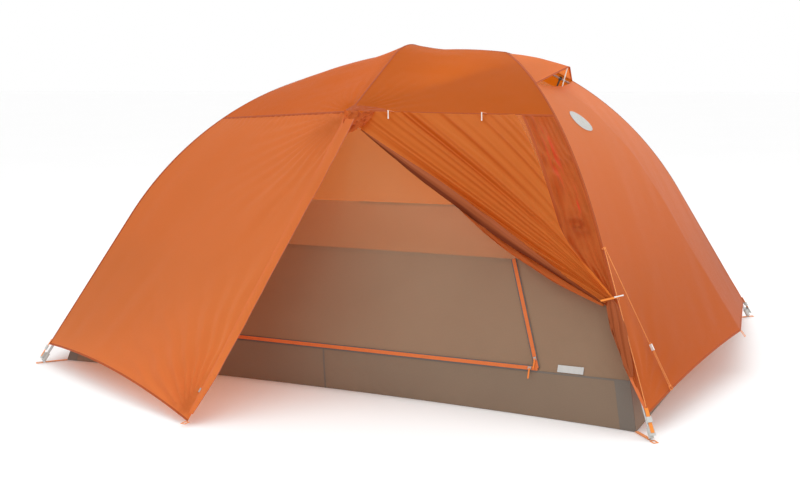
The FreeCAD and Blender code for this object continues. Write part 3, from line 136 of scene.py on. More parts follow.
def mesh_object(name, points, faces, material=None, smooth=True):
    """A mesh from points and faces, in the tent's own frame."""
    data = bpy.data.meshes.new(name)
    data.from_pydata([tuple(p) for p in points], [], [tuple(int(i) for i in f) for f in faces])
    if smooth:
        data.polygons.foreach_set("use_smooth", [True] * len(data.polygons))
    data.update()
    made = bpy.data.objects.new(name, data)
    bpy.context.scene.collection.objects.link(made)
    if material:
        data.materials.append(material)
    return made


GROUND = -0.001
ground = mesh_object(
    "studio_ground", [(-30, -30, GROUND), (30, -30, GROUND), (30, 30, GROUND), (-30, 30, GROUND)],
    [(0, 1, 2, 3)], floor_material(),
)


def panel_light(name, place, target, size, power):
    data = bpy.data.lights.new(name, "AREA")
    data.shape = "RECTANGLE"
    data.size, data.size_y = size
    data.energy = power
    made = bpy.data.objects.new(name, data)
    bpy.context.scene.collection.objects.link(made)
    way = Vector(target) - Vector(place)
    made.rotation_mode = "QUATERNION"
    made.rotation_quaternion = way.to_track_quat("-Z", "Y")
    made.location = place


panel_light("overhead", (0.8, 0.6, 4.6), (0.1, 0.0, 0.4), (4.5, 3.5), 55)
panel_light("front_left", (-3.6, -4.2, 2.4), (0.0, -0.3, 0.5), (2.6, 2.6), 22)
panel_light("inside", (0.42, -0.30, 0.86), (-0.35, 0.75, 0.38), (0.25, 0.25), 5.0)
panel_light("head_end", (4.6, -0.6, 2.6), (0.6, 0.0, 0.6), (2.6, 2.6), 22)


# --------------------------------------------------------------------------------------------------
# Poles. Anodised aluminium tubes, 9 mm across, in sections on an elastic cord. They meet in two hubs and
# end in tips in the corner buckles. The pieces keep their modelled shapes, and their centre lines give the
# cloth its shape.

HUBS = {"head": 0.400, "foot": -0.450}
FEET = {"head": (1.215, -0.959), "foot": (-1.215, -0.883)}
RIDGE_MIDDLE, RIDGE_RADIUS, RIDGE_TOP = 0.170, 1.900, 1.184
BROW_SLOPE, BROW_RADIUS, BROW_TOP = math.radians(27), 0.35, 1.206
LEG_SLOPE = {"head": math.radians(54.5), "foot": math.radians(55)}
LEG_STRAIGHT = {"head": 0.420, "foot": 0.385}
LEG_END = 0.003
TOP = 0.015


def ridge_at(x, gap=0.0):
    """The ridge pole's line, an arc, moved outward by a gap."""
    x = np.asarray(x, float)
    angle = np.arcsin((x - RIDGE_MIDDLE) / RIDGE_RADIUS)
    far = RIDGE_RADIUS + gap
    return np.stack(
        [RIDGE_MIDDLE + np.sin(angle) * far, 0 * x, RIDGE_TOP - RIDGE_RADIUS + np.cos(angle) * far], -1
    )


def brow_at(y, gap=0.0):
    """The brow pole's line: a bend over the ridge, then straight and falling to both sides."""
    y = np.asarray(y, float)
    bend = BROW_RADIUS * math.sin(BROW_SLOPE)
    angle = np.where(
        np.abs(y) < bend, np.arcsin(np.clip(y / BROW_RADIUS, -1, 1)), np.sign(y) * BROW_SLOPE
    )
    straight = BROW_RADIUS * (1 - math.cos(BROW_SLOPE)) + (np.abs(y) - bend) * math.tan(BROW_SLOPE)
    drop = np.where(np.abs(y) < bend, BROW_RADIUS * (1 - np.cos(angle)), straight)
    return np.stack([0 * y, y + np.sin(angle) * gap, BROW_TOP - drop + np.cos(angle) * gap], -1)


def leg_at(end, share, gap=0.0, side=-1):
    """A leg pole's line: an arc from its hub, then straight to the ground."""
    low, straight = LEG_SLOPE[end], LEG_STRAIGHT[end]
    hub = ridge_at(HUBS[end])
    plan = np.array([FEET[end][0] - hub[0], FEET[end][1]])
    span = np.hypot(*plan)
    way = np.array([plan[0] / span, plan[1] / span, 0.0])
    bend_r = span - straight
    drop = hub[2] - (LEG_END + straight * math.tan(low))
    top = 2 * math.atan2(drop, bend_r) - low
    radius = math.hypot(bend_r, drop) / (2 * math.sin((low - top) / 2))
    share = np.asarray(share, float)
    reach = share * span
    angle = np.where(reach < bend_r, np.arcsin(np.clip(reach / radius + math.sin(top), -1, 1)), low)
    curved = hub[2] - radius * (math.cos(top) - np.cos(angle))
    height = np.where(reach < bend_r, curved, LEG_END + (span - reach) * math.tan(low))
    base = np.stack([hub[0] + way[0] * reach, way[1] * reach, height], -1)
    outward = way * np.sin(angle)[..., None] + np.array([0, 0, 1.0]) * np.cos(angle)[..., None]
    made = base + outward * gap
    if gap:
        share = np.clip(share / TOP, 0, 1)[..., None]
        made = np.where(share < 1, ridge_at(HUBS[end], gap) * (1 - share) + made * share, made)
    made[..., 1] *= -side
    return made


def metal_material(name, colour, rough):
    material, tree = new_material(name)
    place = node(tree, "ShaderNodeTexCoord").outputs["Object"]
    stretch = node(tree, "ShaderNodeMapping", {"Vector": place, "Scale": (60.0, 60.0, 60.0)}).outputs[0]
    grain = node(tree, "ShaderNodeTexNoise", {"Vector": stretch, "Scale": 6.0, "Detail": 5.0}).outputs["Fac"]
    scuff = node(tree, "ShaderNodeTexNoise", {"Vector": place, "Scale": 22.0, "Detail": 4.0}).outputs["Fac"]
    tone = blended(tree, scuff, colour, tuple(c * 0.82 for c in colour[:3]) + (1.0,))
    bump = node(tree, "ShaderNodeBump", {"Height": grain, "Strength": 0.15, "Distance": 0.0004}).outputs[0]
    shader = node(
        tree, "ShaderNodeBsdfPrincipled",
        {"Base Color": tone, "Metallic": 1.0, "Roughness": scaled(tree, scuff, rough, rough + 0.15),
         "Normal": bump},
    )
    node(tree, "ShaderNodeOutputMaterial", {"Surface": shader.outputs[0]})
    return material


def plastic_material(name, colour, rough=0.42, speckle=0.9):
    material, tree = new_material(name)
    place = node(tree, "ShaderNodeTexCoord").outputs["Object"]
    fine = node(tree, "ShaderNodeTexNoise", {"Vector": place, "Scale": 900.0, "Detail": 3.0}).outputs["Fac"]
    broad = node(tree, "ShaderNodeTexNoise", {"Vector": place, "Scale": 40.0, "Detail": 4.0}).outputs["Fac"]
    tone = blended(tree, broad, tuple(c * speckle for c in colour[:3]) + (1.0,), colour)
    bump = node(tree, "ShaderNodeBump", {"Height": fine, "Strength": 0.2, "Distance": 0.0003}).outputs[0]
    shader = node(
        tree, "ShaderNodeBsdfPrincipled",
        {"Base Color": tone, "Roughness": scaled(tree, broad, rough - 0.08, rough + 0.1), "Normal": bump},
    )
    node(tree, "ShaderNodeOutputMaterial", {"Surface": shader.outputs[0]})
    return material


def dress(node_name, material):
    """Gives a modelled piece its material."""
    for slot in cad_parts[node_name].material_slots:
        slot.material = material
    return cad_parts[node_name]


pole_metal = metal_material("pole_metal", (0.63, 0.64, 0.65, 1.0), 0.30)
grey_plastic = plastic_material("grey_plastic", linear(196, 196, 192))
dark_plastic = plastic_material("dark_plastic", linear(62, 60, 58))
cord_rubber = plastic_material("cord_rubber", linear(50, 50, 52), 0.7)
for name in (
    "ridge_pole", "brow_pole", "leg_pole_front_head", "leg_pole_rear_head", "leg_pole_front_foot",
    "leg_pole_rear_foot", "pole_ferrules", "pole_tips",
):
    dress(name, pole_metal)
dress("shock_cords", cord_rubber)
for name in ("hub_head", "hub_foot", "swivel_base", "swivel_cap", "canopy_clips"):
    dress(name, dark_plastic)
for name in ("corner_buckles", "strap_adjusters"):
    dress(name, grey_plastic)


# --------------------------------------------------------------------------------------------------
# Floor and bathtub walls. Coated grey-brown nylon: the floor lies flat, the walls rise 150 mm and lean
# inward, with an upright seam near the middle of the long side and darker patches at the corners.

FLOOR_LENGTH, HEAD_WIDTH, FOOT_WIDTH = 2.300, 1.778, 1.626
TUB_TOP, WALL_TOP = 0.150, 0.490
WALL_LEAN = math.radians(24)
CANOPY = -0.041
RIPSTOP_PITCH = 0.005


def straight_line(start, end, count, arch=0.0):
    share = np.linspace(0, 1, count)[:, None]
    made = np.asarray(start) * (1 - share) + np.asarray(end) * share
    made[:, 2] += (4 * share * (1 - share) * arch)[:, 0]
    return made


def coons(top, bottom, left, right):
    """A grid that fills four border lines: rows from top to bottom, columns from left to right."""
    across, down = len(top), len(left)
    u, v = np.linspace(0, 1, across)[None, :, None], np.linspace(0, 1, down)[:, None, None]
    top, bottom = top.copy(), bottom.copy()
    top[0], top[-1], bottom[0], bottom[-1] = left[0], right[0], left[-1], right[-1]
    corners = (top[0] * (1 - u) + top[-1] * u) * (1 - v) + (bottom[0] * (1 - u) + bottom[-1] * u) * v
    return top[None] * (1 - v) + bottom[None] * v + left[:, None] * (1 - u) + right[:, None] * u - corners


def grid_normals(grid, inside=(0.0, 0.0, 0.3)):
    """The outward direction at each point of a grid."""
    normal = np.cross(np.gradient(grid, axis=1), np.gradient(grid, axis=0))
    normal /= np.maximum(np.linalg.norm(normal, axis=2, keepdims=True), 1e-9)
    flip = np.sign(((grid - np.asarray(inside)) * normal).sum(2).mean())
    return normal * (flip or 1.0)


def grid_lengths(grid):
    """How far each point lies along its row and its column, in metres."""
    across = np.zeros(grid.shape[:2])
    across[:, 1:] = np.cumsum(np.linalg.norm(np.diff(grid, axis=1), axis=2), axis=1)
    down = np.zeros(grid.shape[:2])
    down[1:] = np.cumsum(np.linalg.norm(np.diff(grid, axis=0), axis=2), axis=0)
    return across, down


def noise(x, y, seed):
    """Smooth noise from -1 to 1 over two coordinates."""
    def corner(i, j):
        value = np.sin(i * 127.1 + j * 311.7 + seed * 74.7) * 43758.5453
        return (value - np.floor(value)) * 2 - 1
    i, j = np.floor(x), np.floor(y)
    fx, fy = x - i, y - j
    fx, fy = fx * fx * (3 - 2 * fx), fy * fy * (3 - 2 * fy)
    low = corner(i, j) * (1 - fx) + corner(i + 1, j) * fx
    high = corner(i, j + 1) * (1 - fx) + corner(i + 1, j + 1) * fx
    return low * (1 - fy) + high * fy


def edge_distance(grid):
    """How far each point of a grid lies from its top, bottom, left and right border."""
    across, down = grid_lengths(grid)
    return down, down[-1:] - down, across, across[:, -1:] - across


def puckers(grid, sides, height, pitch, reach, seed):
    """Small gathers that run in from a sewn border and die out."""
    across, down = grid_lengths(grid)
    top, bottom, left, right = edge_distance(grid)
    made = np.zeros(grid.shape[:2])
    for side, far, along in (
        ("top", top, across), ("bottom", bottom, across), ("left", left, down), ("right", right, down),
    ):
        if side in sides:
            phase = along / pitch + 0.8 * noise(along / (pitch * 2.3), far / 0.05, seed)
            ridge = np.sin(2 * math.pi * phase) * (0.6 + 0.4 * noise(along / 0.09, far * 0 + 3.1, seed + 5))
            made += height * ridge * np.exp(-far / reach) * (1 - np.exp(-far / 0.006))
    return made


def slack(grid, height, length, width, seed):
    """The uneven lie of cloth under light tension, longer one way than the other, still at its borders."""
    across, down = grid_lengths(grid)
    border = np.minimum.reduce(edge_distance(grid))
    wave = noise(across / width, down / length, seed)
    wave = wave + 0.5 * noise(across / width * 2.1, down / length * 1.9, seed + 9)
    return height * wave * (1 - np.exp(-((border / 0.07) ** 2)))


def joined(name, grids, material):
    """Several grids of points as one object, with their lengths in metres as texture coordinates."""
    points, faces, flats, start = [], [], [], 0
    for grid in grids:
        down, across = grid.shape[:2]
        index = np.arange(down * across).reshape(down, across) + start
        corners = [index[:-1, :-1], index[1:, :-1], index[1:, 1:], index[:-1, 1:]]
        faces.append(np.stack(corners, -1).reshape(-1, 4))
        points.append(grid.reshape(-1, 3))
        flats.append(np.stack(grid_lengths(grid), -1).reshape(-1, 2))
        start += down * across
    faces = np.concatenate(faces)
    made = mesh_object(name, np.concatenate(points), faces, material)
    layer = made.data.uv_layers.new(name="UVMap")
    layer.data.foreach_set("uv", np.concatenate(flats)[faces.reshape(-1)].astype(np.float32).ravel())
    return made


def grid_object(name, grid, material):
    return joined(name, [grid], material)


def border_strip(grid, side, width, lift, inner=0.0, steps=3):
    """A strip of cloth along one border of a grid, lifted off it: a sewn seam, a hem or a binding."""
    turned = grid.transpose(1, 0, 2)
    rows = {"top": grid, "bottom": grid[::-1], "left": turned, "right": turned[::-1]}[side]
    normal = grid_normals(rows)
    far = np.zeros(rows.shape[:2])
    far[1:] = np.cumsum(np.linalg.norm(np.diff(rows, axis=0), axis=2), axis=0)
    made = []
    for want in np.linspace(inner, width, steps):
        line = np.empty((rows.shape[1], 3))
        for column in range(rows.shape[1]):
            reach = min(want, far[-1, column])
            row = min(int(np.searchsorted(far[:, column], reach, "right")), rows.shape[0] - 1)
            gap = far[row, column] - far[row - 1, column]
            share = (reach - far[row - 1, column]) / gap if gap > 1e-9 else 0.0
            point = rows[row - 1, column] * (1 - share) + rows[row, column] * share
            line[column] = point + normal[row, column] * lift
        made.append(line)
    return np.array(made)


def cloth_material(name, colour, dark, through, glow=0.35, rough=0.5, folded=None, low_shade=None):
    """Thin woven cloth: a ripstop grid, fine crinkle, uneven dye, a soft sheen and light from behind.
    folded gives a colour for each point layer, blended in by that layer's share; its crease and fold layers
    are painted shade. low_shade is a painted shade that darkens the cloth toward the bottom."""
    material, tree = new_material(name)
    flat = node(tree, "ShaderNodeUVMap", uv_map="UVMap").outputs[0]
    place = node(tree, "ShaderNodeTexCoord").outputs["Object"]
    pitch = 0.314 / RIPSTOP_PITCH
    bars = [
        node(tree, "ShaderNodeTexWave", {"Vector": flat, "Scale": pitch}, bands_direction=way).outputs["Fac"]
        for way in ("X", "Y")
    ]
    lattice = node(tree, "ShaderNodeMath", {0: bars[0], 1: bars[1]}, operation="MAXIMUM").outputs[0]
    lattice = node(tree, "ShaderNodeMath", {0: lattice, 1: 10.0}, operation="POWER").outputs[0]
    crease = node(tree, "ShaderNodeTexNoise", {"Vector": place, "Scale": 34.0, "Detail": 6.0}).outputs["Fac"]
    cloud = node(tree, "ShaderNodeTexNoise", {"Vector": place, "Scale": 2.4, "Detail": 4.0}).outputs["Fac"]
    tone = blended(tree, cloud, dark, colour)
    tone = blended(tree, scaled(tree, lattice, 0.0, 0.07), tone, (0.0, 0.0, 0.0, 1.0))
    # Painted shade: the tone darkens toward the bottom, into low_shade.
    if low_shade:
        height = node(tree, "ShaderNodeSeparateXYZ", {0: place}).outputs[2]
        fall = node(
            tree, "ShaderNodeMapRange", {"Value": height, "From Min": 0.95, "From Max": 0.15}
        ).outputs[0]
        tone = blended(tree, fall, tone, low_shade)
    # Each point layer blends the tone toward its colour; the crease and fold layers are painted shade.
    if folded:
        for layer, shade in folded.items():
            layer = node(tree, "ShaderNodeAttribute", attribute_name=layer).outputs["Fac"]
            tone = blended(tree, layer, tone, shade)
    height = node(
        tree, "ShaderNodeMath", {0: crease, 1: scaled(tree, lattice, 0.0, 0.25)}, operation="ADD"
    ).outputs[0]
    bump = node(tree, "ShaderNodeBump", {"Height": height, "Strength": 0.35, "Distance": 0.0012}).outputs[0]
    front = node(
        tree, "ShaderNodeBsdfPrincipled",
        {"Base Color": tone, "Roughness": scaled(tree, crease, rough - 0.08, rough + 0.1),
         "Sheen Weight": 0.03, "Sheen Roughness": 0.4, "Specular IOR Level": 0.12, "Normal": bump},
    )
    lit_through = blended(tree, 0.5, tone, through)
    behind = node(tree, "ShaderNodeBsdfTranslucent", {"Color": lit_through, "Normal": bump})
    both = node(tree, "ShaderNodeMixShader", {0: glow, 1: front.outputs[0], 2: behind.outputs[0]})
    node(tree, "ShaderNodeOutputMaterial", {"Surface": both.outputs[0]})
    return material


def held_sheet(grids):
    """Measures a set of grids: their longest row, and their longest column times their count; nothing uses
    the results. States panels as cloth, with the flat size and area of their own grids, so the mesh always
    matches.
    """
    wide = max(grid_lengths(g)[0].max() for g in grids)
    long = max(grid_lengths(g)[1].max() for g in grids) * len(grids)


def on_tent(made, slot_name, *nodes):
    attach(made, "tent")
    if nodes:
        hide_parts(*nodes)
    return made


floor_cloth = cloth_material(
    "floor_cloth", linear(146, 124, 104), linear(132, 112, 95), linear(160, 130, 100), glow=0.12, rough=0.42
)
dark_cloth = cloth_material(
    "dark_cloth", linear(128, 117, 107), linear(112, 103, 95), linear(120, 108, 98), glow=0.05, rough=0.5
)


def floor_edge(count, side=-1):
    """A long edge of the floor, drawn in a little between its corners."""
    share = np.linspace(0, 1, count)[:, None]
    foot = np.array([-FLOOR_LENGTH / 2, FOOT_WIDTH / 2 * side, 0])
    head = np.array([FLOOR_LENGTH / 2, HEAD_WIDTH / 2 * side, 0])
    return foot + (head - foot) * share - np.array([0, 0.058 * side, 0]) * 4 * share * (1 - share)


def wall_point(x, z, side=-1):
    """The lower wall of a long side, which leans inward."""
    x, z = np.asarray(x, float), np.asarray(z, float)
    half = (HEAD_WIDTH + FOOT_WIDTH) / 4 - 0.049 + (HEAD_WIDTH - FOOT_WIDTH) / 2 / FLOOR_LENGTH * x
    y = half - (z - TUB_TOP) * math.tan(WALL_LEAN)
    return np.stack([x, y * side, z + 0 * x], -1)


def leg_share_at(end, height, gap=CANOPY):
    """How far down a leg's line a height lies."""
    low, high = 0.0, 1.0
    for _ in range(40):
        middle = (low + high) / 2
        if leg_at(end, middle, gap)[2] > height:
            low = middle
        else:
            high = middle
    return low


def wall_end(end, z):
    return float(leg_at(end, leg_share_at(end, z), CANOPY)[0])


LEFT = {z: wall_end("foot", z) for z in (TUB_TOP, WALL_TOP)}
RIGHT = {z: wall_end("head", z) for z in (TUB_TOP, WALL_TOP)}

foot_end, head_end = (
    corner * (np.linspace(1, -1, 60)[:, None] * [0, 1, 0] + [1, 0, 1]) for corner in floor_edge(2, 1)
)
floor_grid = coons(floor_edge(90, 1), floor_edge(90), foot_end, head_end)
floor_grid[..., 2] = 0.0012 + 0.0006 * noise(floor_grid[..., 0] * 9, floor_grid[..., 1] * 9, 4)
floor_sheet = on_tent(grid_object("floor_cloth", floor_grid, floor_cloth), "floor", "floor_sheet")
held_sheet([floor_grid])

tub_grids = []
for side in (-1, 1):
    x = np.linspace(LEFT[TUB_TOP], RIGHT[TUB_TOP], 260)
    high = wall_point(x, TUB_TOP, side)
    low = floor_edge(260, side)
    grid = coons(high, low, straight_line(high[0], low[0], 26), straight_line(high[-1], low[-1], 26))
    lie = slack(grid, 0.004, 0.09, 0.16, 11) + puckers(grid, ("top", "bottom"), 0.0012, 0.055, 0.04, 12)
    tub_grids.append(grid + grid_normals(grid) * lie[..., None] + grid_normals(grid) * 0.001)
for column in (0, -1):
    high = straight_line(tub_grids[1][0, column], tub_grids[0][0, column], 150)
    low = straight_line(tub_grids[1][-1, column], tub_grids[0][-1, column], 150)
    grid = coons(high, low, straight_line(high[0], low[0], 24), straight_line(high[-1], low[-1], 24))
    tub_grids.append(grid + grid_normals(grid) * slack(grid, 0.004, 0.09, 0.16, 14)[..., None])
for grid in tub_grids:
    grid[..., 2] = np.maximum(grid[..., 2], 0.0006)
tub = on_tent(joined("tub_cloth", tub_grids, floor_cloth), "floor", "tub_walls")
TUB_SEAM_X = -0.012
tub_bits = []
for grid in tub_grids[:2]:
    tub_bits.append(border_strip(grid, "top", 0.006, 0.0008))
    line = grid[:, int(np.searchsorted(grid[0, :, 0], TUB_SEAM_X))] + grid_normals(grid)[:, 130] * 0.0012
    tub_bits.append(np.array([line - [0.003, 0, 0], line + [0.003, 0, 0]]))
tub_trim = on_tent(joined("tub_seams", tub_bits, dark_cloth), "floor")
corner_bits = []
for grid in tub_grids[:2]:
    for columns in (slice(0, 6), slice(-7, None)):
        corner = grid[:, columns]
        corner_bits.append(corner + grid_normals(corner, (0, 0, 0.3)) * 0.0012)
corner_patches = on_tent(joined("tub_corner_patches", corner_bits, dark_cloth), "floor")
held_sheet(tub_grids)


# --------------------------------------------------------------------------------------------------
# Inner walls. Below, light grey-brown nylon up to half a metre; above, fine net. Each long side has a
# door, solid below and net above. The cloth hangs from clips on the poles, so it is nearly flat, with long
# shallow folds.

SEAM = {"head": 0.380, "foot": 0.335}
BROW_HALF = 0.556
ZIP_SLANT = math.radians(22)
HINGE_X, ZIP_X = -0.560, 0.810
HINGE_TOP, ZIP_TOP = 0.22, 0.88
wall_cloth = cloth_material(
    "wall_cloth", linear(176, 148, 122), linear(158, 130, 106), linear(205, 150, 105), glow=0.34, rough=0.55
)
# Painted light: a much lighter copy of the wall cloth, for the far side's walls and door, which stand lit
# through the fly.
lit_wall_cloth = cloth_material(
    "wall_cloth_lit_copy", linear(232, 206, 176), linear(216, 188, 158), linear(235, 200, 160),
    glow=0.40, rough=0.6,
)


def net_material(name, colour, cover):
    """Fine net: threads that cover part of the view and let the rest through."""
    material, tree = new_material(name)
    flat = node(tree, "ShaderNodeUVMap", uv_map="UVMap").outputs[0]
    cell = node(
        tree, "ShaderNodeTexVoronoi", {"Vector": flat, "Scale": 900.0}, voronoi_dimensions="2D"
    ).outputs[0]
    cloud = node(tree, "ShaderNodeTexNoise", {"Vector": flat, "Scale": 9.0, "Detail": 3.0}).outputs["Fac"]
    tone = blended(tree, cloud, tuple(c * 0.85 for c in colour[:3]) + (1.0,), colour)
    bump = node(tree, "ShaderNodeBump", {"Height": cell, "Strength": 0.12, "Distance": 0.0003}).outputs[0]
    thread = node(
        tree, "ShaderNodeBsdfPrincipled",
        {"Base Color": tone, "Roughness": scaled(tree, cloud, 0.6, 0.8), "Sheen Weight": 0.2, "Normal": bump},
    )
    hole = node(tree, "ShaderNodeBsdfTransparent")
    both = node(tree, "ShaderNodeMixShader", {0: cover, 1: hole.outputs[0], 2: thread.outputs[0]})
    node(tree, "ShaderNodeOutputMaterial", {"Surface": both.outputs[0]})
    return material


net = net_material("net", linear(226, 182, 136), 0.24)


def flipped(grid):
    """The same grid on the other long side of the tent."""
    return grid * np.array([1.0, -1.0, 1.0])


def sag(grid, depth):
    """Cloth hung between its borders, drawn in by depth at the middle."""
    down, across = grid.shape[:2]
    u, v = np.linspace(0, 1, across)[None, :], np.linspace(0, 1, down)[:, None]
    return -depth * (4 * u * (1 - u)) * (4 * v * (1 - v))


def zip_at(z):
    """Where the door's upright zip stands at a height."""
    return ZIP_X - (z - TUB_TOP) * math.tan(ZIP_SLANT)


def crease_shift(end):
    """How far the inner's corner stands off its leg at the top of the solid wall, and how far down."""
    share = leg_share_at(end, WALL_TOP)
    corner = wall_point((LEFT if end == "foot" else RIGHT)[WALL_TOP], WALL_TOP)
    return corner - leg_at(end, share, CANOPY), share


def canopy_line(end, share):
    shift, low = crease_shift(end)
    drawn = np.clip((share - SEAM[end]) / (low - SEAM[end]), 0, None)[..., None]
    return leg_at(end, share, CANOPY) + shift * drawn


def canopy_top(share):
    foot, head = leg_at("foot", SEAM["foot"], CANOPY), leg_at("head", SEAM["head"], CANOPY)
    peak = brow_at(-BROW_HALF * 0.93, CANOPY)
    share = np.asarray(share, float)[..., None]
    rising, falling = foot + (peak - foot) * share * 2, peak + (head - peak) * (share - 0.5) * 2
    return np.where(share < 0.5, rising, falling)


def settled(grid, depth, seed, long=0.35, wide=0.12):
    """A wall panel with its sag, its slack and the gathers along its seams."""
    lie = sag(grid, depth) + slack(grid, 0.0035, long, wide, seed) + puckers(
        grid, ("top", "bottom"), 0.001, 0.045, 0.05, seed + 1
    )
    return grid + grid_normals(grid) * lie[..., None]


def lower_wall(low_x, high_x, across, seed, side=-1):
    low = wall_point(np.linspace(low_x[0], low_x[1], across), TUB_TOP, side)
    high = wall_point(np.linspace(high_x[0], high_x[1], across), WALL_TOP, side)
    grid = coons(high, low, straight_line(high[0], low[0], 60), straight_line(high[-1], low[-1], 60))
    return settled(grid, 0.002, seed, 0.12, 0.3)


def upper_net(x_pair, share_pair, across, seed, left=None, right=None):
    top = canopy_top(np.linspace(share_pair[0], share_pair[1], across))
    bottom = wall_point(np.linspace(x_pair[0], x_pair[1], across), WALL_TOP)
    left = straight_line(top[0], bottom[0], 50) if left is None else left
    right = straight_line(top[-1], bottom[-1], 50) if right is None else right
    return settled(coons(top, bottom, left, right), 0.006, seed)


side_low = {end: crease_shift(end)[1] for end in ("foot", "head")}
foot_side = canopy_line("foot", np.linspace(SEAM["foot"], side_low["foot"], 50))
head_side = canopy_line("head", np.linspace(SEAM["head"], side_low["head"], 50))
wall_grids, net_grids = [], []
for side in (-1, 1):
    turn = (lambda g: g) if side < 0 else flipped
    parts = [
        lower_wall((LEFT[TUB_TOP], HINGE_X), (LEFT[WALL_TOP], HINGE_X), 60, 21),
        lower_wall((zip_at(TUB_TOP), RIGHT[TUB_TOP]), (zip_at(WALL_TOP), RIGHT[WALL_TOP]), 50, 22),
    ]
    wall_grids += [turn(g) for g in parts]
    nets = [
        upper_net((LEFT[WALL_TOP], HINGE_X), (0, HINGE_TOP), 50, 23, left=foot_side),
        upper_net((zip_at(WALL_TOP), RIGHT[WALL_TOP]), (ZIP_TOP, 1), 40, 24, right=head_side),
    ]
    net_grids += [turn(g) for g in nets]
wall_pieces = on_tent(joined("side_wall_cloth_front", wall_grids[:2], wall_cloth), "inner_wall", "side_walls")
rear_pieces = on_tent(joined("side_wall_cloth_rear", wall_grids[2:], lit_wall_cloth), "inner_wall")
net_pieces = on_tent(joined("side_net", net_grids, net), "mesh", "side_meshes")
held_sheet(wall_grids[:2])
held_sheet(net_grids)
for word, turn in (("front", lambda g: g), ("rear", flipped)):
    low_door = turn(lower_wall((HINGE_X, zip_at(TUB_TOP)), (HINGE_X, zip_at(WALL_TOP)), 130, 25))
    high_door = turn(upper_net((HINGE_X, zip_at(WALL_TOP)), (HINGE_TOP, ZIP_TOP), 130, 26))
    cloth = wall_cloth if word == "front" else lit_wall_cloth
    cloth_part = on_tent(grid_object("door_cloth_" + word, low_door, cloth), "inner_wall", "door_" + word)
    net_part = on_tent(grid_object("door_net_" + word, high_door, net), "mesh")
    band = border_strip(low_door, "top", 0.012, 0.0008)
    band_part = on_tent(joined("door_band_" + word, [band], wall_cloth), "inner_wall")
    held_sheet([low_door])
    held_sheet([high_door])

end_grids, end_nets = [], []
for end, line in (("foot", LEFT), ("head", RIGHT)):
    high = wall_point(line[WALL_TOP], WALL_TOP)
    low = wall_point(line[TUB_TOP], TUB_TOP)
    top = straight_line(high * [1, -1, 1], high, 120)
    bottom = straight_line(low * [1, -1, 1], low, 120)
    grid = coons(top, bottom, straight_line(top[0], bottom[0], 50), straight_line(top[-1], bottom[-1], 50))
    end_grids.append(settled(grid, 0.003, 31, 0.12, 0.3))
    edge = canopy_line(end, np.linspace(TOP, side_low[end], 90))
    rear = flipped(edge)
    grid = coons(straight_line(rear[0], edge[0], 90), top[np.linspace(0, 119, 90).astype(int)], rear, edge)
    end_nets.append(settled(grid, 0.008, 32))
end_cloth = on_tent(joined("end_wall_cloth", end_grids, wall_cloth), "inner_wall", "end_walls")
end_net = on_tent(joined("end_net", end_nets, net), "mesh", "end_meshes")
held_sheet(end_grids)
held_sheet(end_nets)

roof_nets = []
for end, low_share in (("head", 1.0), ("foot", 0.0)):
    ridge = ridge_at(np.linspace(0, HUBS[end], 70), CANOPY)
    bottom = canopy_top(np.linspace(0.5, low_share, 70))
    spine = straight_line(ridge[0], bottom[0], 60)
    grid = coons(ridge, bottom, spine, canopy_line(end, np.linspace(0, SEAM[end], 60)))
    grid = settled(grid, 0.006, 33)
    roof_nets += [grid, flipped(grid)]
roof_net = on_tent(joined("roof_net", roof_nets, net), "mesh", "roof_mesh")
held_sheet(roof_nets)


# --------------------------------------------------------------------------------------------------
# Door zips. An orange coil on a narrow grey tape runs along the tub seam and up beside the head leg. The
# two sliders of each door meet at its lower corner, each with a cord pull.


def tape_material(name, colour, pitch=0.0016, rough=0.7):
    """Woven tape with ribs across it."""
    material, tree = new_material(name)
    flat = node(tree, "ShaderNodeUVMap", uv_map="UVMap").outputs[0]
    place = node(tree, "ShaderNodeTexCoord").outputs["Object"]
    rib = node(
        tree, "ShaderNodeTexWave", {"Vector": flat, "Scale": 0.314 / pitch, "Distortion": 0.6}
    ).outputs["Fac"]
    cloud = node(tree, "ShaderNodeTexNoise", {"Vector": place, "Scale": 60.0, "Detail": 4.0}).outputs["Fac"]
    tone = blended(tree, cloud, tuple(c * 0.8 for c in colour[:3]) + (1.0,), colour)
    tone = blended(tree, scaled(tree, rib, 0.0, 0.25), tone, (0.0, 0.0, 0.0, 1.0))
    bump = node(tree, "ShaderNodeBump", {"Height": rib, "Strength": 0.5, "Distance": 0.0006}).outputs[0]
    shader = node(
        tree, "ShaderNodeBsdfPrincipled",
        {"Base Color": tone, "Roughness": scaled(tree, cloud, rough - 0.1, rough + 0.1), "Sheen Weight": 0.3,
         "Normal": bump},
    )
    node(tree, "ShaderNodeOutputMaterial", {"Surface": shader.outputs[0]})
    return material


def ribbon(line, across, width, bulge=0.0, steps=5):
    """A flat band along a line. across points to its side at each place; bulge raises its middle."""
    line, across = np.asarray(line, float), np.asarray(across, float)
    way = np.gradient(line, axis=0)
    normal = np.cross(way, across)
    normal /= np.linalg.norm(normal, axis=1, keepdims=True)
    rows = []
    for share in np.linspace(-1, 1, steps):
        rows.append(line + across * (width / 2 * share) + normal * (bulge * (1 - share * share)))
    return np.array(rows)


